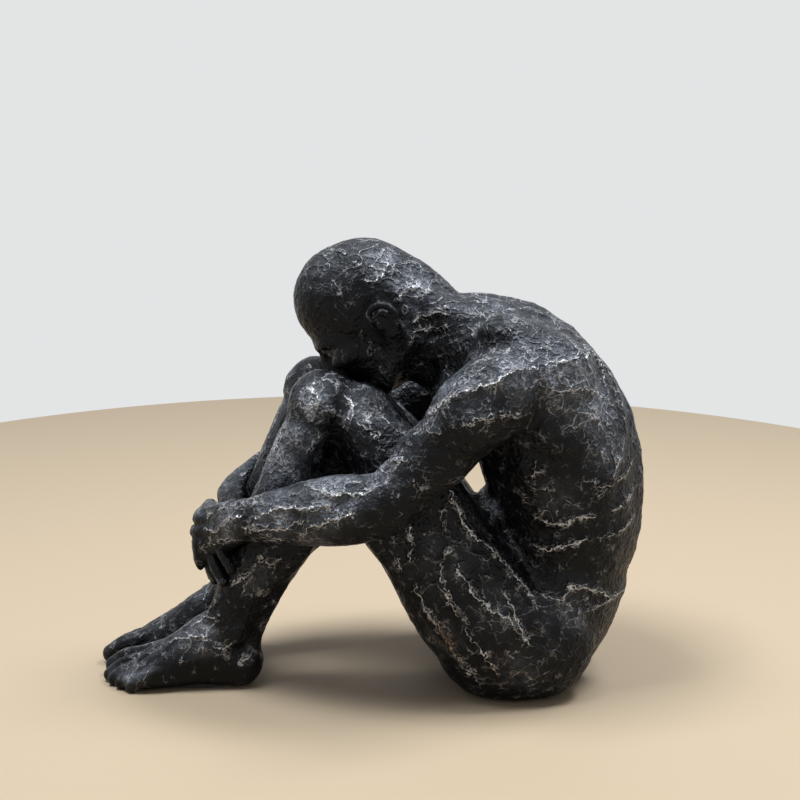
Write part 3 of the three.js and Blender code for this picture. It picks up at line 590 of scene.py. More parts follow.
# Strokes of the modelling tool. Each is seen from the camera as points of the picture, or from behind as
# points aside and up in millimetres: path, height, half width and how strongly its crest is brushed
upperArm = [(428, 415), (442, 404), (457, 396), (472, 390), (487, 386), (507, 375), (526, 370), (552, 364)]
innerThigh = [(446, 484), (456, 503), (465, 523), (476, 540), (488, 548)]
innerThigh += [(498, 559), (512, 574), (524, 586), (538, 610)]
sideStrokes = {
    "torso": [
        ([(573, 360), (588, 354), (599, 363), (606, 380)], 1.0, 4, 0.9),
        ([(552, 364), (573, 360)], 1.2, 4, 1),
        ([(540, 385), (562, 392), (585, 388), (606, 396)], 0.9, 5, 0.8),
        ([(556, 408), (580, 412), (604, 420)], 0.9, 5, 0.7),
        ([(505, 420), (530, 426), (553, 440), (575, 452)], 2.4, 9, 0.35),
        ([(502, 448), (528, 456), (552, 466)], -2.0, 9, 0),
        ([(527, 474), (540, 471), (551, 473)], 1.1, 4, 0.7),
        ([(520, 495), (532, 491), (548, 488), (566, 492)], 1.0, 4, 0.5),
        ([(532, 514), (545, 521), (560, 524), (580, 518), (601, 514)], 1.3, 4, 0.8),
        ([(520, 528), (545, 534), (570, 530)], -1.2, 5, 0),
        ([(531, 543), (548, 548), (572, 543), (589, 538)], 1.4, 4, 0.85),
        ([(512, 556), (535, 566), (560, 570), (596, 566)], -1.6, 7, 0),
        ([(536, 591), (548, 597), (560, 600), (570, 588), (586, 588), (608, 595)], 1.5, 4, 0.9),
        ([(596, 440), (606, 470), (608, 500)], 0.9, 6, 0.3),
        ([(570, 470), (590, 480), (612, 478)], 0.8, 4, 0.4),
        ([(455, 318), (480, 316), (510, 318), (545, 330)], 0.8, 5, 0.25),
        ([(478, 347), (492, 344), (507, 341), (522, 336), (536, 329)], -1.6, 5, 0),
        ([(500, 322), (512, 326), (522, 322)], 1.4, 6, 0.2),
        ([(515, 318), (535, 313), (552, 312)], 1.0, 5, 0.2),
    ],
    "head": [
        ([(370, 281), (379, 277), (387, 266), (384, 262)], 0.9, 3, 1),
        ([(396, 300), (408, 290), (420, 284)], 0.8, 3.5, 0.8),
        ([(413, 322), (427, 314), (441, 312), (458, 318)], 1.0, 4, 0.8),
        ([(418, 330), (441, 327), (459, 338), (476, 334)], 0.9, 3.5, 0.8),
        ([(453, 341), (468, 335), (479, 322)], 0.9, 3, 0.7),
        ([(486, 318), (490, 332), (488, 346)], -1.6, 5, 0),
    ],
    "leftArm": [
        (upperArm, 1.7, 4, 1),
        ([(428, 415), (426, 427), (436, 434)], 1.0, 3.5, 0.7),
        ([(437, 427), (459, 424), (481, 419), (505, 415), (527, 413)], 1.2, 4, 0.6),
        ([(446, 414), (470, 405), (500, 396), (528, 392)], -1.0, 6, 0),
        ([(418, 436), (436, 408), (452, 384)], -0.9, 5, 0),
        ([(369, 477), (389, 463), (411, 459)], 1.1, 3.5, 0.6),
        ([(307, 486), (330, 494), (361, 494), (372, 490)], 1.1, 3.5, 0.8),
        ([(253, 518), (270, 511), (285, 507), (305, 508), (327, 505)], 1.0, 3.5, 0.9),
        ([(241, 525), (261, 529), (286, 527), (306, 522)], 0.9, 3.5, 0.8),
        ([(300, 539), (313, 527), (335, 519), (359, 511)], 1.0, 3.5, 0.8),
        ([(400, 458), (375, 484), (345, 502), (318, 513)], -1.2, 5, 0),
        ([(244, 536), (268, 538), (300, 539)], 0.7, 3, 0.6),
        ([(208, 531), (217, 531), (228, 521), (245, 514)], 0.8, 3, 0.8),
        ([(205, 517), (222, 508), (245, 503)], 0.7, 3, 0.6),
        ([(203, 545), (216, 541), (232, 536)], 0.7, 3, 0.6),
    ],
    "leftLeg": [
        (innerThigh, 1.5, 4, 1),
        ([(440, 514), (446, 533), (449, 550), (441, 564), (446, 591), (453, 605), (467, 624)], 1.0, 3.5, 0.7),
        ([(452, 543), (458, 571), (469, 583), (477, 598), (496, 612), (510, 621), (522, 636)], 1.1, 3.5, 0.8),
        ([(501, 583), (510, 605), (519, 626), (530, 650)], 1.0, 3.5, 0.8),
        ([(414, 581), (426, 609), (438, 626), (452, 647), (464, 665), (479, 679), (489, 690)], 1.1, 3.5, 0.8),
        ([(466, 632), (479, 648), (492, 664), (503, 676)], 1.0, 3.5, 0.7),
        ([(407, 516), (412, 543), (410, 564)], 0.9, 3.5, 0.6),
        ([(392, 530), (398, 556), (408, 590)], 0.9, 3.5, 0.4),
        ([(428, 530), (433, 560), (430, 585)], -1.0, 6, 0),
        ([(586, 619), (582, 636), (579, 653)], 1.0, 3.5, 0.7),
        ([(550, 630), (556, 650), (563, 662)], 0.9, 3.5, 0.7),
        ([(526, 679), (534, 682), (543, 681)], 0.8, 3.5, 0.6),
        ([(536, 628), (541, 650), (536, 668)], -1.0, 6, 0),
        ([(338, 396), (340, 412), (336, 432), (326, 452)], -2.0, 6, 0),
        ([(361, 424), (372, 432), (382, 437)], 0.9, 3.5, 0.7),
        ([(318, 431), (316, 441), (307, 452)], 0.9, 3, 0.7),
        ([(310, 388), (318, 396), (316, 412)], 0.9, 3.5, 0.9),
        ([(348, 398), (354, 408), (350, 420)], 1.2, 5, 0.8),
        ([(265, 469), (270, 458), (276, 447), (284, 424)], 0.8, 3, 0.7),
        ([(260, 559), (268, 563), (280, 560)], 0.8, 3.5, 0.6),
        ([(231, 584), (245, 577), (253, 570)], 0.8, 3.5, 0.7),
        ([(219, 597), (209, 612), (201, 619)], 0.8, 3, 0.6),
        ([(296, 552), (276, 574), (256, 600)], -1.0, 5, 0),
        ([(195, 623), (206, 618), (217, 615)], 0.7, 3, 0.6),
        ([(166, 642), (182, 638), (197, 636), (206, 637), (218, 642)], 0.7, 3, 0.7),
        ([(191, 672), (195, 655), (204, 648), (217, 646), (232, 644)], 0.7, 3, 0.5),
        ([(241, 661), (247, 658), (251, 652)], 0.6, 4, 0.7),
        ([(246, 632), (243, 642), (236, 650)], -1.0, 5, 0),
    ],
}
backStrokes = [
    ([(0, 206), (0, 180), (0, 150), (0, 120), (0, 95), (0, 68)], -0.8, 7, 0),
    ([(0, 56), (0, 40), (0, 22)], -3.0, 7, 0),
    ([(15, 196), (17, 165), (17, 130), (15, 100), (13, 74)], 0.6, 9, 0.3),
    ([(25, 196), (22, 182), (25, 164), (34, 148)], 1.0, 6, 0.5),
    ([(25, 192), (40, 195), (56, 188)], 1.4, 6, 0.6),
    ([(34, 148), (45, 130), (52, 112)], 1.2, 7, 0.5),
    ([(31, 180), (40, 170), (44, 158)], -1.1, 8, 0),
    ([(26, 138), (28, 120), (26, 104)], -0.9, 8, 0),
    ([(30, 132), (42, 124), (54, 122)], 0.9, 4, 0.6),
    ([(29, 116), (42, 108), (54, 107)], 0.9, 4, 0.6),
    ([(28, 100), (42, 93), (54, 93)], 0.9, 4, 0.6),
    ([(10, 62), (26, 66), (46, 64)], -1.1, 7, 0),
    ([(12, 52), (28, 55), (46, 50)], 1.0, 5, 0.7),
    ([(14, 66), (15, 63)], -1.4, 6, 0),
]
backStrokes += [([(0, z + 2), (0, z - 2)], 1.0, 3.5, 0.4) for z in range(84, 208, 13)]

# Where the brush passed, which also sets the pale dust and painted sheen: spot of the picture, reach in
# millimetres, strength, and how warm its metal is
brushedAndLit = {
    "torso": [
        (578, 390, 27, 0.9, 0), (560, 376, 20, 0.95, 0), (594, 404, 22, 0.95, 0), (606, 450, 24, 0.5, 0.1),
        (560, 500, 26, 0.42, 0.2), (575, 600, 22, 0.45, 0.2), (530, 352, 18, 0.5, 0),
    ],
    "head": [(412, 290, 20, 0.85, 0), (448, 325, 15, 0.6, 0.1), (385, 262, 16, 0.7, 0.1)],
    "leftArm": [
        (480, 395, 26, 0.4, 0.1), (522, 380, 20, 0.75, 0), (446, 384, 16, 0.5, 0.1),
        (430, 422, 12, 0.55, 0.2), (330, 500, 26, 0.7, 0.2), (275, 520, 18, 0.75, 0.4),
        (310, 540, 20, 0.55, 0.7), (225, 525, 16, 0.65, 0.4), (380, 470, 20, 0.45, 0.1),
    ],
    "leftLeg": [
        (315, 402, 16, 0.8, 0.2), (352, 410, 14, 0.6, 0.1), (290, 460, 28, 1.0, 0.1),
        (255, 575, 22, 0.5, 0.5), (200, 640, 18, 0.7, 0.1), (135, 672, 14, 0.65, 0),
        (245, 657, 9, 0.5, 0.1), (450, 560, 34, 0.42, 0.1), (500, 600, 26, 0.45, 0),
        (440, 640, 24, 0.4, 0.7), (520, 670, 28, 0.38, 0.5), (590, 630, 18, 0.4, 0.3),
    ],
}


def sightLine(across, down):
    # the way from the camera through a spot of the picture
    reach = camera["frame"] * camera["lens"] / camera["sensor"]
    half = camera["frame"] / 2
    return shot.matrix_world.to_3x3() @ Vector((across - half, half - down, -reach)).normalized()


def seenSpot(tree, across, down, side, shift):
    # where the line of sight meets the skin, from the left, or from the mirrored place on the right
    eye = shot.matrix_world.translation.copy()
    way = sightLine(across, down)
    if side > 0:
        eye.y, way.y = -eye.y, -way.y
    eye.x += shift * mm
    return tree.ray_cast(eye, way)


def along(path, step):
    # a smooth line through the points, one more point each step
    points = [np.array(p, float) for p in path]
    points = [2 * points[0] - points[1], *points, 2 * points[-1] - points[-2]]
    line = []
    for a, b, c, d in zip(points, points[1:], points[2:], points[3:]):
        count = max(2, int(np.linalg.norm(c - b) / step))
        for t in np.linspace(0, 1, count, endpoint=False):
            bend = (2 * a - 5 * b + 4 * c - d) * t * t
            line.append(0.5 * (2 * b + (c - a) * t + bend + (3 * b - a - 3 * c + d) * t**3))
    return [*line, points[-2]]


def strokesFor(name):
    # the strokes that lie on a casting and on what it meets, with the side they are seen from
    left = {"rightArm": "leftArm", "rightLeg": "leftLeg"}.get(name, name)
    owners = list(sideStrokes) if name == "torso" else [left, "torso"]
    sides = {"leftArm": [-1], "leftLeg": [-1], "rightArm": [1], "rightLeg": [1]}.get(name, [-1, 1])
    return [(owner, side) for owner in owners for side in sides]


def ownTree(owner, side):
    right = {"leftArm": "rightArm", "leftLeg": "rightLeg"}
    return castings[right.get(owner, owner) if side > 0 else owner]["tree"]


def sideShift(owner, side):
    return rightJoints["knee"].x - leftJoints["knee"].x if owner == "leftLeg" and side > 0 else 0


# Steps along a stroke, how near a stroke's points lie to their solid, how far out they are cast from, and
# from where to where beside its crest the brush fades out
stroking = {
    "step": 2.5, "grip": 7, "backStep": 2, "backGrip": 9, "behind": 600,
    "faceStep": 0.8, "faceAhead": 90, "crest": (2.2, 3.2),
}
legSides = {"leftLeg": -1, "rightLeg": 1}


def drawn(skin, name, places, normals):
    # every stroke's push along the skin, how far aside of its crest each point is, and where the brush passed
    push = np.zeros(len(places))
    aside = np.full(len(places), 9.0)
    crest = np.zeros(len(places))
    bright = np.zeros(len(places))
    warm = np.zeros(len(places))
    tree = treeOf([Vector(p) for p in places * mm], skin.data)
    dice = np.random.default_rng(5)
    crestReach = stroking["crest"]

    def draw(hits, height, width, brush):
        hits = [hit for hit in hits if hit[0] is not None]
        if len(hits) < 2:
            return
        line = np.array([h[0] for h in hits]) / mm
        facing = np.array([h[1] for h in hits])
        low = line.min(axis=0) - max(width * 2, crestReach[1])
        high = line.max(axis=0) + max(width * 2, crestReach[1])
        near = np.flatnonzero(((places > low) & (places < high)).all(axis=1))
        if not len(near):
            return
        gaps = np.linalg.norm(places[near][:, None] - line[None], axis=2)
        spot = gaps.argmin(axis=1)
        gap = gaps[np.arange(len(near)), spot]
        agree = rise((normals[near] * facing[spot]).sum(axis=1), 0.1, 0.5)
        taper = np.sin(np.pi * (spot + 0.7) / (len(line) + 0.4)) ** 0.5
        fall = np.exp(-2 * (gap / width) ** 2) * taper * agree
        push[near] += height * fall
        across = np.cross(facing, np.gradient(line, axis=0))
        across /= np.linalg.norm(across, axis=1)[:, None] + 1e-9
        off = ((places[near] - line[spot]) * across[spot]).sum(axis=1)
        strength = brush * taper**0.5 * agree * (1 - rise(gap, *crestReach))
        better = strength > crest[near]
        aside[near[better]] = off[better]
        crest[near[better]] = strength[better]

    for owner, side in strokesFor(name):
        solid = ownTree(owner, side)
        shift = sideShift(owner, side)
        for path, height, width, brush in sideStrokes[owner]:
            ragged = 1.0 if brush > 0 else 0
            hits = []
            for spot in along(path, stroking["step"]):
                spot = spot + dice.normal(size=2) * ragged
                place, normal = seenSpot(tree, *spot, side, shift)[:2]
                if place is not None and solid.find_nearest(place)[3] < stroking["grip"] * mm:
                    hits.append((place, normal))
            draw(hits, height, width, brush)
        for across, down, reach, strength, warmth in brushedAndLit[owner]:
            place = seenSpot(tree, across, down, side, shift)[0]
            if place is None or solid.find_nearest(place)[3] > stroking["grip"] * mm:
                continue
            gap = np.linalg.norm(places - np.array(place) / mm, axis=1) / reach
            fall = np.exp(-1.6 * gap**2)
            bright = np.maximum(bright, strength * fall)
            warm = np.maximum(warm, warmth * fall)
    if name in ("torso", "head"):
        torso = castings["torso"]["tree"]
        for path, height, width, brush in backStrokes:
            for side in (-1, 1) if any(p[0] for p in path) else (1,):
                hits = []
                for y, z in along(path, stroking["backStep"]):
                    start = Vector((stroking["behind"], side * y, z)) * mm
                    place, normal = tree.ray_cast(start, Vector((-1, 0, 0)))[:2]
                    if place is not None and torso.find_nearest(place)[3] < stroking["backGrip"] * mm:
                        hits.append((place, normal))
                draw(hits, height, width, brush)

    def press(starts, way, height, width):
        draw([tree.ray_cast(start * mm, way)[:2] for start in starts], height, width, 0)

    if name == "head":
        for path, height, width in faceGrooves:
            for side in (-1, 1):
                line = along(path, stroking["faceStep"])
                starts = [onHead(stroking["faceAhead"], side * y, z) for y, z in line]
                press(starts, -headWays()[0], height, width)
    if name == "leftArm":
        for path in fingerGrooves():
            press(path, Vector((1, 0, 0)), *hands["groove"])
    if name in legSides:
        for path in toeGrooves(legSides[name]):
            press(path, Vector((0, 0, -1)), *toes["groove"])
    return push, aside, crest, bright, warm


# Which way the tool went on each casting
flows = {
    "torso": [],
    "head": [],
    "leftArm": [("shoulder", "elbow"), ("elbow", "wrist")],
    "rightArm": [("shoulder", "elbow"), ("elbow", "wrist")],
    "leftLeg": [("hip", "knee"), ("knee", "ankle")],
    "rightLeg": [("hip", "knee"), ("knee", "ankle")],
}
# Heights of the tooling in millimetres, the spacing of its lines and how it runs, how it takes the brush, and
# the painted top light
tooling = {
    "swell": 0.34, "ridge": 0.5, "hammer": 0.34, "ridgeWidth": 2.2, "spacing": 10,
    "stretch": 3.4, "ribs": 0.75, "limb": 26, "wander": 1.8, "wanderSize": 7,
    "paintedTopLight": 0.36, "headShare": 0.75,
}
# How much of the tooling is lost on the smoother parts, and between which distances that comes in
smoother = {
    "face": 0.55, "faceAhead": (18, 30), "faceBelow": (-16, -6), "faceNear": (-70, -62),
    "foot": 0.6, "footNear": (-38, -24), "footMiddle": (-45, 0, 8), "footSquash": (0.5, 1, 1),
    "hand": 0.45, "handNear": (-34, -22), "ear": 0.7, "earNear": (-15, -10), "earPlace": (-1, 28, 0),
}


def distance(places, spot, squash=(1, 1, 1)):
    return np.linalg.norm((places - np.array(spot)) * squash, axis=1)


def smoothness(places):
    # 1 where the tool worked freely, less on the face, the hands and the feet
    ahead, up = headWays()
    fromEars = places - np.array(head["ears"])
    face = smoother["face"] * rise(fromEars @ np.array(ahead), *smoother["faceAhead"])
    face = face * rise(-(fromEars @ np.array(up)), *smoother["faceBelow"])
    rough = 1 - face * rise(-distance(places, head["ears"]), *smoother["faceNear"])
    for joints in (leftJoints, rightJoints):
        foot = distance(places, joints["heel"] + Vector(smoother["footMiddle"]), smoother["footSquash"])
        hand = distance(places, joints["palm"])
        rough *= 1 - smoother["foot"] * rise(-foot, *smoother["footNear"])
        rough *= 1 - smoother["hand"] * rise(-hand, *smoother["handNear"])
    x, y, z = smoother["earPlace"]
    ear = np.minimum(distance(places, onHead(x, y, z)), distance(places, onHead(x, -y, z)))
    return rough * (1 - smoother["ear"] * rise(-ear, *smoother["earNear"]))


def flowing(places, name):
    # crooked lines drawn out along the limb: about the millimetres to the nearest one, on either side of it
    total = np.zeros(len(places))
    weights = np.zeros(len(places))
    side = 1 if name.startswith("right") else -1
    bones = [(jointsOf(side)[a], jointsOf(side)[b]) for a, b in flows[name]]
    if not bones:
        bones = [(fromSeat(-23, 0, 250), fromSeat(-22, 0, 0))]
    for k, (start, end) in enumerate(bones):
        way = np.array((end - start).normalized())
        run = (places - np.array(start)) @ way
        reach = np.clip(run, 0, (end - start).length)
        away = np.linalg.norm(places - np.array(start) - reach[:, None] * way, axis=1)
        weight = np.exp(-((away / tooling["limb"]) ** 2)) + 1e-9
        stretch = tooling["stretch"] if flows[name] else tooling["ribs"]
        squeezed = places - run[:, None] * way * (1 - 1 / stretch)
        squeezed = squeezed + tooling["wander"] * swell(places, tooling["wanderSize"], 31 + k)[:, None]
        total += weight * swell(squeezed, tooling["spacing"], 40 + k)
        weights += weight
    return total / weights * tooling["spacing"] * 0.6


def footShaped(places, side):
    # the outer edge of the forefoot pressed in, the lower corner of the heel drawn in to a round
    heel = jointsOf(side)["heel"]
    radius = toes["heelRound"]
    places = places.copy()
    out = np.maximum(0, (places[:, 1] - heel.y) * side)
    press = toes["press"] * rise(heel.x - places[:, 0], *toes["pressAhead"])
    press = press * rise(-places[:, 2], *toes["pressBelow"])
    places[:, 1] -= side * out * press
    back = radius - (heel.x - places[:, 0])
    low = radius - (places[:, 2] - toes["sole"])
    far = np.hypot(back, low)
    near = (back < radius * 1.5) & (np.abs(places[:, 1] - heel.y) < toes["heelWidth"])
    corner = near & (back > 0) & (low > 0) & (far > radius)
    pull = np.where(corner, radius / np.maximum(far, 1e-6), 1)
    result = places.copy()
    result[:, 0] += back * (pull - 1)
    result[:, 2] += low * (1 - pull)
    return result


def litFromAbove(places, normals, name):
    # 1 where nothing of the other castings hangs over the skin, 0 in the shade they cast from above, for the
    # painted top light
    others = [castings[other]["tree"] for other in castings if other != name]
    up = Vector((0, 0, 1))
    clear = np.ones(len(places))
    for i in np.flatnonzero(normals[:, 2] > -0.3):
        spot = Vector(places[i] * mm)
        if any(tree.ray_cast(spot, up)[0] is not None for tree in others):
            clear[i] = 0
    return clear


def sculpted(skin, name):
    places, normals = readSkin(skin)
    if name in legSides:
        places = footShaped(places, legSides[name])
        writeSkin(skin, places)
        places, normals = readSkin(skin)
    push, aside, crest, bright, warm = drawn(skin, name, places, normals)
    rough = smoothness(places) * (tooling["headShare"] if name == "head" else 1)
    flow = flowing(places, name)
    drift = 0.14 + 0.18 * swell(places, 24, 8)
    # painted top light: the skin is made paler where it faces up and nothing overhangs it, and kept dark in
    # the shade under the other castings
    paintedTopLight = tooling["paintedTopLight"] * rise(spread(normals[:, 2], ends(skin), 6), -0.2, 0.8)
    paintedTopLight *= spread(litFromAbove(places, normals, name), ends(skin), 12)
    bright = np.clip((np.maximum(bright, drift) + paintedTopLight) * (0.85 + 0.3 * swell(places, 9, 9)), 0, 1)
    worked = 0.35 + 0.65 * bright
    height = tooling["swell"] * swell(places, 8.5, 1) * (0.6 + 0.4 * bright)
    height += tooling["ridge"] * np.maximum(0, 1 - np.abs(flow) / tooling["ridgeWidth"]) ** 1.3 * worked
    height += tooling["hammer"] * swell(places, 3.4, 2) * worked
    writeSkin(skin, places + normals * (push + rough * height)[:, None])
    warm = np.clip(warm + 0.25 * swell(places, 30, 12), 0, 1)
    # the brush spots and the painted top light together, stored as one mask
    brushAndTopLight = bright * (0.5 + 0.5 * rough)
    layers = {"aside": aside, "crest": crest, "flow": flow, "brushedAndLit": brushAndTopLight, "warm": warm, "rough": rough}
    for label, values in layers.items():
        layer = skin.data.attributes.new(label, "FLOAT", "POINT")
        layer.data.foreach_set("value", values.astype(np.float32))


# How deep inside the figure each casting ends, and how far the torso runs on under the others
seams = {
    "head": fromSeat(-36.3, 0, 194),
    "leftArm": fromSeat(-6.3, -44, 172),
    "rightArm": fromSeat(-6.3, 44, 172),
    "leftLeg": fromSeat(-8.3, -34, 46),
    "rightLeg": fromSeat(-13, 34, 46),
    "underlap": 4.0,
    "step": 0.3,
    "reach": 45,
}


def trimmed(skin, name):
    # keep the skin that lies nearest to this casting's solid, then close it inside the figure
    places, normals = readSkin(skin)
    spots = [Vector(p) for p in places * mm]
    own = np.array([castings[name]["tree"].find_nearest(p)[3] for p in spots]) / mm
    others = [n for n in castings if n != name] if name == "torso" else ["torso"]
    away = np.full(len(places), 1e3)
    for other in others:
        tree = castings[other]["tree"]
        away = np.minimum(away, np.array([tree.find_nearest(p)[3] for p in spots]) / mm)
    pairs = ends(skin)
    border = spread(own - away, pairs, 40)
    if name == "torso":
        sink = np.clip(border / seams["underlap"] * 3, 0, 1) * seams["step"]
        places = places - normals * sink[:, None]
        border = border - seams["underlap"]
    # the last row of the skin moves on to the border itself, so that its edge runs smooth
    crossing = pairs[(border[pairs[:, 0]] > 0) != (border[pairs[:, 1]] > 0)]
    swap = border[crossing[:, 0]] > 0
    crossing[swap] = crossing[swap][:, ::-1]
    inner, outer = crossing[:, 0], crossing[:, 1]
    share = border[inner] / (border[inner] - border[outer])
    meets = places[inner] + (places[outer] - places[inner]) * share[:, None]
    count = np.bincount(inner, minlength=len(places))
    for axis in range(3):
        mean = np.bincount(inner, meets[:, axis], len(places)) / np.maximum(count, 1)
        places[:, axis] = np.where(count > 0, mean, places[:, axis])
    writeSkin(skin, places)
    dropped(skin, border > 0)
    keepLargest(skin)
    closeInside(skin, name)


def dropped(skin, unwanted):
    pick(skin)
    mode("EDIT")
    bpy.ops.mesh.select_mode(type="VERT")
    bpy.ops.mesh.select_all(action="DESELECT")
    mode("OBJECT")
    skin.data.vertices.foreach_set("select", unwanted)
    mode("EDIT")
    bpy.ops.mesh.delete(type="VERT")
    mode("OBJECT")


def keepLargest(skin):
    # crumbs that hang on to nothing go
    pairs = ends(skin)
    island = np.arange(len(skin.data.vertices))
    while True:
        low = np.minimum(island[pairs[:, 0]], island[pairs[:, 1]])
        after = island.copy()
        np.minimum.at(after, pairs[:, 0], low)
        np.minimum.at(after, pairs[:, 1], low)
        after = after[after]
        if np.array_equal(after, island):
            break
        island = after
    dropped(skin, island != np.bincount(island).argmax())


def closeInside(skin, name):
    # each open end is closed to a point inside the figure, with a sharp rim
    deep = [seams[n] for n in castings if n in seams] if name == "torso" else [seams[name]]
    before = len(skin.data.vertices)
    pick(skin)
    mode("EDIT")
    bpy.ops.mesh.select_all(action="SELECT")
    bpy.ops.mesh.fill_holes(sides=0)
    bpy.ops.mesh.select_all(action="DESELECT")
    bpy.ops.mesh.select_face_by_sides(number=4, type="GREATER", extend=False)
    bpy.ops.mesh.poke()
    mode("OBJECT")
    hubs = range(before, len(skin.data.vertices))
    for i in hubs:
        hub = skin.data.vertices[i]
        near = min(deep, key=lambda d: (d * mm - hub.co).length)
        if (near * mm - hub.co).length < seams["reach"] * mm:
            hub.co = near * mm
    rim = set()
    for face in skin.data.polygons:
        if max(face.vertices) >= before:
            rim.add(tuple(sorted(v for v in face.vertices if v < before)))
    for edge in skin.data.edges:
        if tuple(sorted(edge.vertices)) in rim:
            edge.use_edge_sharp = True
    skin.data.update()
    print(name, "closed with", len(hubs), "caps,", len(skin.data.polygons), "faces")


skins = {}
for name in castings:
    skin = modelled(name)
    sculpted(skin, name)
    trimmed(skin, name)
    skins[name] = skin
    print(name, "modelled")

for part in castings.values():
    for spare in [part["raw"], *part["fine"]]:
        bpy.data.objects.remove(spare)

print("materials")


def noiseGroup(name, inputs, outputs):
    # uneven noise in object space, and a soft cut that is still to be joined to it
    group = bpy.data.node_groups.new(name, "ShaderNodeTree")
    for label, value in inputs.items():
        socket = group.interface.new_socket(label, in_out="INPUT", socket_type="NodeSocketFloat")
        socket.default_value = value
    for label in outputs:
        group.interface.new_socket(label, in_out="OUTPUT", socket_type="NodeSocketFloat")
    given, result = [group.nodes.new("NodeGroup" + kind) for kind in ("Input", "Output")]
    kinds = ("TexNoise", "MapRange", "TexCoord")
    noise, cut, place = [group.nodes.new("ShaderNode" + kind) for kind in kinds]
    cut.interpolation_type = "SMOOTHSTEP"
    group.links.new(place.outputs["Object"], noise.inputs["Vector"])
    for label in ("Scale", "Detail"):
        group.links.new(given.outputs[label], noise.inputs[label])
    return group, given, result, noise, cut


def grainGroup():
    # grain, cut to a mask between two levels, and its plain height
    inputs = {"Scale": 400, "Detail": 2, "Low": 0.4, "High": 0.6}
    group, given, result, noise, cut = noiseGroup("grain", inputs, ("Mask", "Height"))
    group.links.new(noise.outputs["Fac"], cut.inputs["Value"])
    group.links.new(given.outputs["Low"], cut.inputs["From Min"])
    group.links.new(given.outputs["High"], cut.inputs["From Max"])
    group.links.new(cut.outputs["Result"], result.inputs["Mask"])
    group.links.new(noise.outputs["Fac"], result.inputs["Height"])
    return group


def crestGroup():
    # crooked thin lines, as wide as they are asked to be
    inputs = {"Scale": 200, "Detail": 3, "Width": 0.04}
    group, given, result, noise, cut = noiseGroup("crests", inputs, ("Line",))
    noise.inputs["Distortion"].default_value = 0.2
    middle, away = [group.nodes.new("ShaderNodeMath") for step in range(2)]
    middle.operation = "SUBTRACT"
    middle.inputs[1].default_value = 0.5
    away.operation = "ABSOLUTE"
    cut.inputs["To Min"].default_value = 1
    cut.inputs["To Max"].default_value = 0
    group.links.new(noise.outputs["Fac"], middle.inputs[0])
    group.links.new(middle.outputs["Value"], away.inputs[0])
    group.links.new(away.outputs["Value"], cut.inputs["Value"])
    group.links.new(given.outputs["Width"], cut.inputs["From Max"])
    group.links.new(cut.outputs["Result"], result.inputs["Line"])
    return group


grain = grainGroup()
crests = crestGroup()


class Paint:
    # one material and the few nodes it is built from
    def __init__(self, name):
        self.material = bpy.data.materials.new(name)
        self.material.use_nodes = True
        self.nodes = self.material.node_tree.nodes
        self.links = self.material.node_tree.links
        self.body = self.nodes["Principled BSDF"]

    def plug(self, value, socket):
        if isinstance(value, bpy.types.NodeSocket):
            self.links.new(value, socket)
        else:
            socket.default_value = value

    def group(self, tree, **inputs):
        node = self.nodes.new("ShaderNodeGroup")
        node.node_tree = tree
        for label, value in inputs.items():
            self.plug(value, node.inputs[label])
        return node.outputs

    def grain(self, scale, detail):
        return self.group(grain, Scale=scale, Detail=detail)["Height"]

    def crest(self, scale, detail, width):
        return self.group(crests, Scale=scale, Detail=detail, Width=width)["Line"]

    def layer(self, label):
        node = self.nodes.new("ShaderNodeAttribute")
        node.attribute_name = label
        return node.outputs["Fac"]

    def sum(self, operation, first, second, third=0.0):
        node = self.nodes.new("ShaderNodeMath")
        node.operation = operation
        for value, socket in zip((first, second, third), node.inputs):
            self.plug(value, socket)
        return node.outputs["Value"]

    def times(self, first, second, third=None):
        # two values multiplied, and a third one added
        if third is None:
            return self.sum("MULTIPLY", first, second)
        return self.sum("MULTIPLY_ADD", first, second, third)

    def most(self, *values):
        result = values[0]
        for value in values[1:]:
            result = self.sum("MAXIMUM", result, value)
        return result

    def step(self, value, low, high, start=0.0, end=1.0):
        node = self.nodes.new("ShaderNodeMapRange")
        node.interpolation_type = "SMOOTHSTEP"
        labels = ("Value", "From Min", "From Max", "To Min", "To Max")
        for given, label in zip((value, low, high, start, end), labels):
            self.plug(given, node.inputs[label])
        return node.outputs["Result"]

    def mix(self, share, first, second):
        node = self.nodes.new("ShaderNodeMix")
        node.data_type = "RGBA"
        self.plug(share, node.inputs["Factor"])
        self.plug(first, node.inputs["A"])
        self.plug(second, node.inputs["B"])
        return node.outputs["Result"]

    def bump(self, height, strength, distance):
        node = self.nodes.new("ShaderNodeBump")
        node.inputs["Strength"].default_value = strength
        node.inputs["Distance"].default_value = distance
        self.links.new(height, node.inputs["Height"])
        self.links.new(node.outputs["Normal"], self.body.inputs["Normal"])


# Black paint over a tooled skin, its crests brushed with silver and here and there with bronze, with pale
# dust and painted sheen on the brushed and up-facing parts
resin = {
    "black": (0.0042, 0.0044, 0.0056, 1),
    # pale blue-grey for the dust and the painted sheen
    "dustAndSheen": (0.19, 0.21, 0.25, 1),
    "silver": (0.93, 0.93, 0.95, 1),
    "bronze": (0.46, 0.3, 0.19, 1),
    "gloss": 0.15,
    "relief": 1.0,
}
paint = Paint("painted_resin")
lumpy, fine, broken = [paint.grain(scale, 2) for scale in (300, 900, 150)]
crest = paint.layer("crest")
aside = paint.layer("aside")
jitter = paint.sum("ADD", paint.times(lumpy, 4.0, -2.0), paint.times(fine, 1.6, -0.8))


def lineAt(away, width):
    # a thin line where the way aside, thrown out of true by the grain, comes to nothing
    away = paint.sum("ABSOLUTE", paint.sum("ADD", away, jitter), 0.0)
    return paint.step(away, width * 0.25, width, 1.0, 0.0)
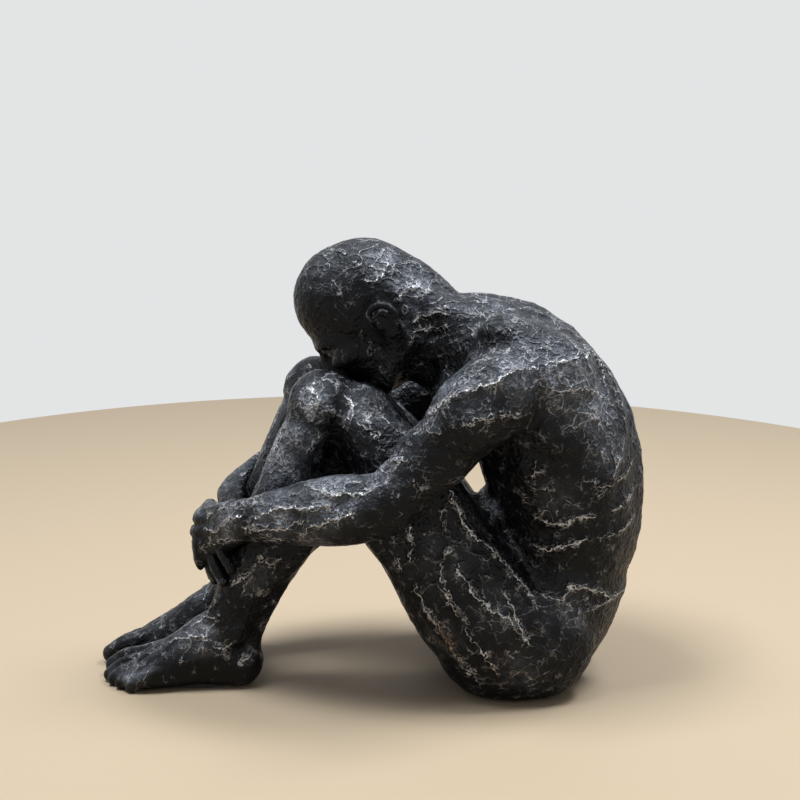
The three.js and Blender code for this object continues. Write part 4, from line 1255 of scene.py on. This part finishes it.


# how strongly the brush passed, with the painted top light in it, and the lines it left: along the strokes,
# along the limb, short crooked ones
chance = paint.times(broken, 1.6, -0.8)
passing = paint.sum("ADD", paint.most(paint.layer("brushedAndLit"), paint.times(crest, 0.8)), chance)
caught = paint.sum("ADD", crest, chance)
held = paint.step(caught, 0.32, 0.7)
bold = paint.times(lineAt(aside, 0.62), paint.step(caught, 0.62, 0.95))
strokes = paint.most(paint.times(lineAt(aside, 0.44), held), bold)
flow = paint.times(lineAt(paint.layer("flow"), 0.36), paint.step(passing, 0.2, 0.55))
short = paint.crest(220, 2.5, paint.step(passing, 0.2, 1.0, 0.02, 0.07))
short = paint.times(short, paint.step(passing, 0.5, 1.0))
hairs = paint.times(paint.crest(120, 3.5, 0.022), paint.step(passing, 0.05, 0.45))
shares = ((strokes, 0.8), (flow, 0.48), (short, 0.38), (hairs, 0.24))
silver = paint.most(*[paint.times(line, share) for line, share in shares])
silver = paint.times(silver, paint.step(fine, 0.32, 0.52, 0.4, 1.0))
metal = paint.mix(paint.step(paint.layer("warm"), 0.15, 0.8), resin["silver"], resin["bronze"])
# pale dust and painted sheen where the brush went and where the tops face the light, between the lines
speckle = paint.times(lumpy, 0.4, paint.times(fine, 0.6))
soft = paint.times(chance, 0.22, paint.layer("brushedAndLit"))
dustAndSheenShare = paint.times(paint.step(soft, 0.1, 0.95), paint.step(speckle, 0.34, 0.64, 0.55, 1.0))
ground = paint.mix(dustAndSheenShare, resin["black"], resin["dustAndSheen"])
paint.links.new(paint.mix(silver, ground, metal), paint.body.inputs["Base Color"])
paint.links.new(paint.times(silver, 0.5), paint.body.inputs["Metallic"])
paint.links.new(paint.step(lumpy, 0.3, 0.7, 0.3, 0.44), paint.body.inputs["Roughness"])
paint.body.inputs["Specular IOR Level"].default_value = resin["gloss"]
# the lines stand up as low ridges among the grain
height = paint.times(paint.crest(220, 2.5, 0.2), paint.step(passing, 0.05, 0.7, 0.4, 1.0))
height = paint.times(paint.crest(120, 3.5, 0.09), 0.3, height)
height = paint.times(lineAt(aside, 1.3), paint.times(held, 0.5), height)
height = paint.times(lineAt(paint.layer("flow"), 1.1), paint.step(passing, 0.1, 0.6, 0.15, 0.5), height)
height = paint.times(lumpy, 0.9, height)
height = paint.times(fine, 0.25, height)
paint.bump(paint.times(height, paint.layer("rough")), 1.0, resin["relief"] * mm)

steel = Paint("dowel_steel")
lathe = steel.grain(900, 2)
steel.body.inputs["Base Color"].default_value = (0.56, 0.57, 0.58, 1)
steel.body.inputs["Metallic"].default_value = 1
steel.links.new(steel.step(lathe, 0.3, 0.7, 0.25, 0.4), steel.body.inputs["Roughness"])
steel.bump(lathe, 0.1, 0.1 * mm)

felt = Paint("felt")
fuzz = felt.group(grain, Scale=1400, Detail=4, Low=0.35, High=0.65)
felted = felt.mix(fuzz["Mask"], (0.018, 0.018, 0.02, 1), (0.05, 0.05, 0.052, 1))
felt.links.new(felted, felt.body.inputs["Base Color"])
felt.body.inputs["Roughness"].default_value = 0.95
felt.body.inputs["Sheen Weight"].default_value = 0.4
felt.bump(fuzz["Height"], 0.6, 0.3 * mm)

labels = {"leftArm": "left_arm", "rightArm": "right_arm", "leftLeg": "left_leg", "rightLeg": "right_leg"}
for name, skin in skins.items():
    skin.name = labels.get(name, name)
    skin.data.materials.clear()
    skin.data.materials.append(paint.material)
    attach(skin, "root")
    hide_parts(castings[name]["node"])

for node in ("neck", "left_hip", "right_hip", "left_shoulder", "right_shoulder"):
    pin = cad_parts[node + "_dowel"]
    pin.data.materials.clear()
    pin.data.materials.append(steel.material)

# Felt under the seat and the feet: a rounded oval, its faces a little uneven and worn flat
felts = {"round": 0.5, "grain": 0.6, "rounds": 3, "nap": 0.09}
for node in ("seat_felt_pad", "left_foot_felt_pad", "right_foot_felt_pad"):
    under, over = [Vector(corner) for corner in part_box(node)]
    middle = (under + over) / 2
    bpy.ops.mesh.primitive_cylinder_add(vertices=96, radius=0.5, depth=1, location=middle, scale=over - under)
    bpy.ops.object.transform_apply(location=True, rotation=True, scale=True)
    pad = bpy.context.object
    pad.name = node.replace("_pad", "")
    applied(pad, "BEVEL", width=felts["round"] * mm, segments=3, limit_method="ANGLE")
    remeshed(pad, felts["grain"], felts["rounds"])
    places, normals = readSkin(pad)
    nap = felts["nap"] * (swell(places, 1.9, 21) + 0.8 * swell(places, 6, 22) - 0.6)
    writeSkin(pad, places + normals * nap[:, None])
    pad.data.materials.append(felt.material)
    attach(pad, "root")
    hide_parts(node)
print("felt pads")

# A round table top, a pale backdrop and soft light
studio = {
    "floor": (0.72, 0.57, 0.4, 1),
    "radius": 0.6,
    "back": 0.25,
    "backdrop": (0.77, 0.78, 0.785, 1),
    "sky": 0.16,
    "skyColour": (0.95, 0.97, 1, 1),
    "light": (0.93, 0.97, 1),
}
middle = (0, studio["back"], 0)
bpy.ops.mesh.primitive_circle_add(vertices=128, radius=studio["radius"], fill_type="NGON", location=middle)
bpy.ops.object.transform_apply(location=True)
floor = bpy.context.object
floor.name = "floor"
floorPaint = Paint("pale_floor")
floorPaint.body.inputs["Base Color"].default_value = studio["floor"]
floorPaint.body.inputs["Roughness"].default_value = 0.6
floor.data.materials.append(floorPaint.material)

world = bpy.data.worlds.new("studio")
scene.world = world
world.use_nodes = True
nodes, links = world.node_tree.nodes, world.node_tree.links
sky = nodes["Background"]
sky.inputs["Color"].default_value = studio["skyColour"]
sky.inputs["Strength"].default_value = studio["sky"]
backdrop = nodes.new("ShaderNodeBackground")
backdrop.inputs["Color"].default_value = studio["backdrop"]
rays = nodes.new("ShaderNodeLightPath")
choice = nodes.new("ShaderNodeMixShader")
seen = rays.outputs["Is Camera Ray"]
for ray in ("Is Glossy Ray", "Is Transmission Ray"):
    either = nodes.new("ShaderNodeMath")
    either.operation = "MAXIMUM"
    links.new(seen, either.inputs[0])
    links.new(rays.outputs[ray], either.inputs[1])
    seen = either.outputs["Value"]
links.new(seen, choice.inputs["Fac"])
links.new(sky.outputs["Background"], choice.inputs[1])
links.new(backdrop.outputs["Background"], choice.inputs[2])
links.new(choice.outputs["Shader"], nodes["World Output"].inputs["Surface"])
# Lamps: place, what they point at and size in metres, and power
lamps = [
    ((-0.4, -0.15, 1.4), (0, 0, 0.12), 0.5, 13),
    ((0.55, 0.1, 1.2), (0.03, 0, 0.12), 0.4, 9),
]
for place, aim, size, power in lamps:
    bpy.ops.object.light_add(type="AREA", location=place)
    lamp = bpy.context.object
    lamp.data.size = size
    lamp.data.energy = power
    lamp.data.color = studio["light"]
    lamp.rotation_euler = (Vector(aim) - Vector(place)).to_track_quat("-Z", "Y").to_euler()
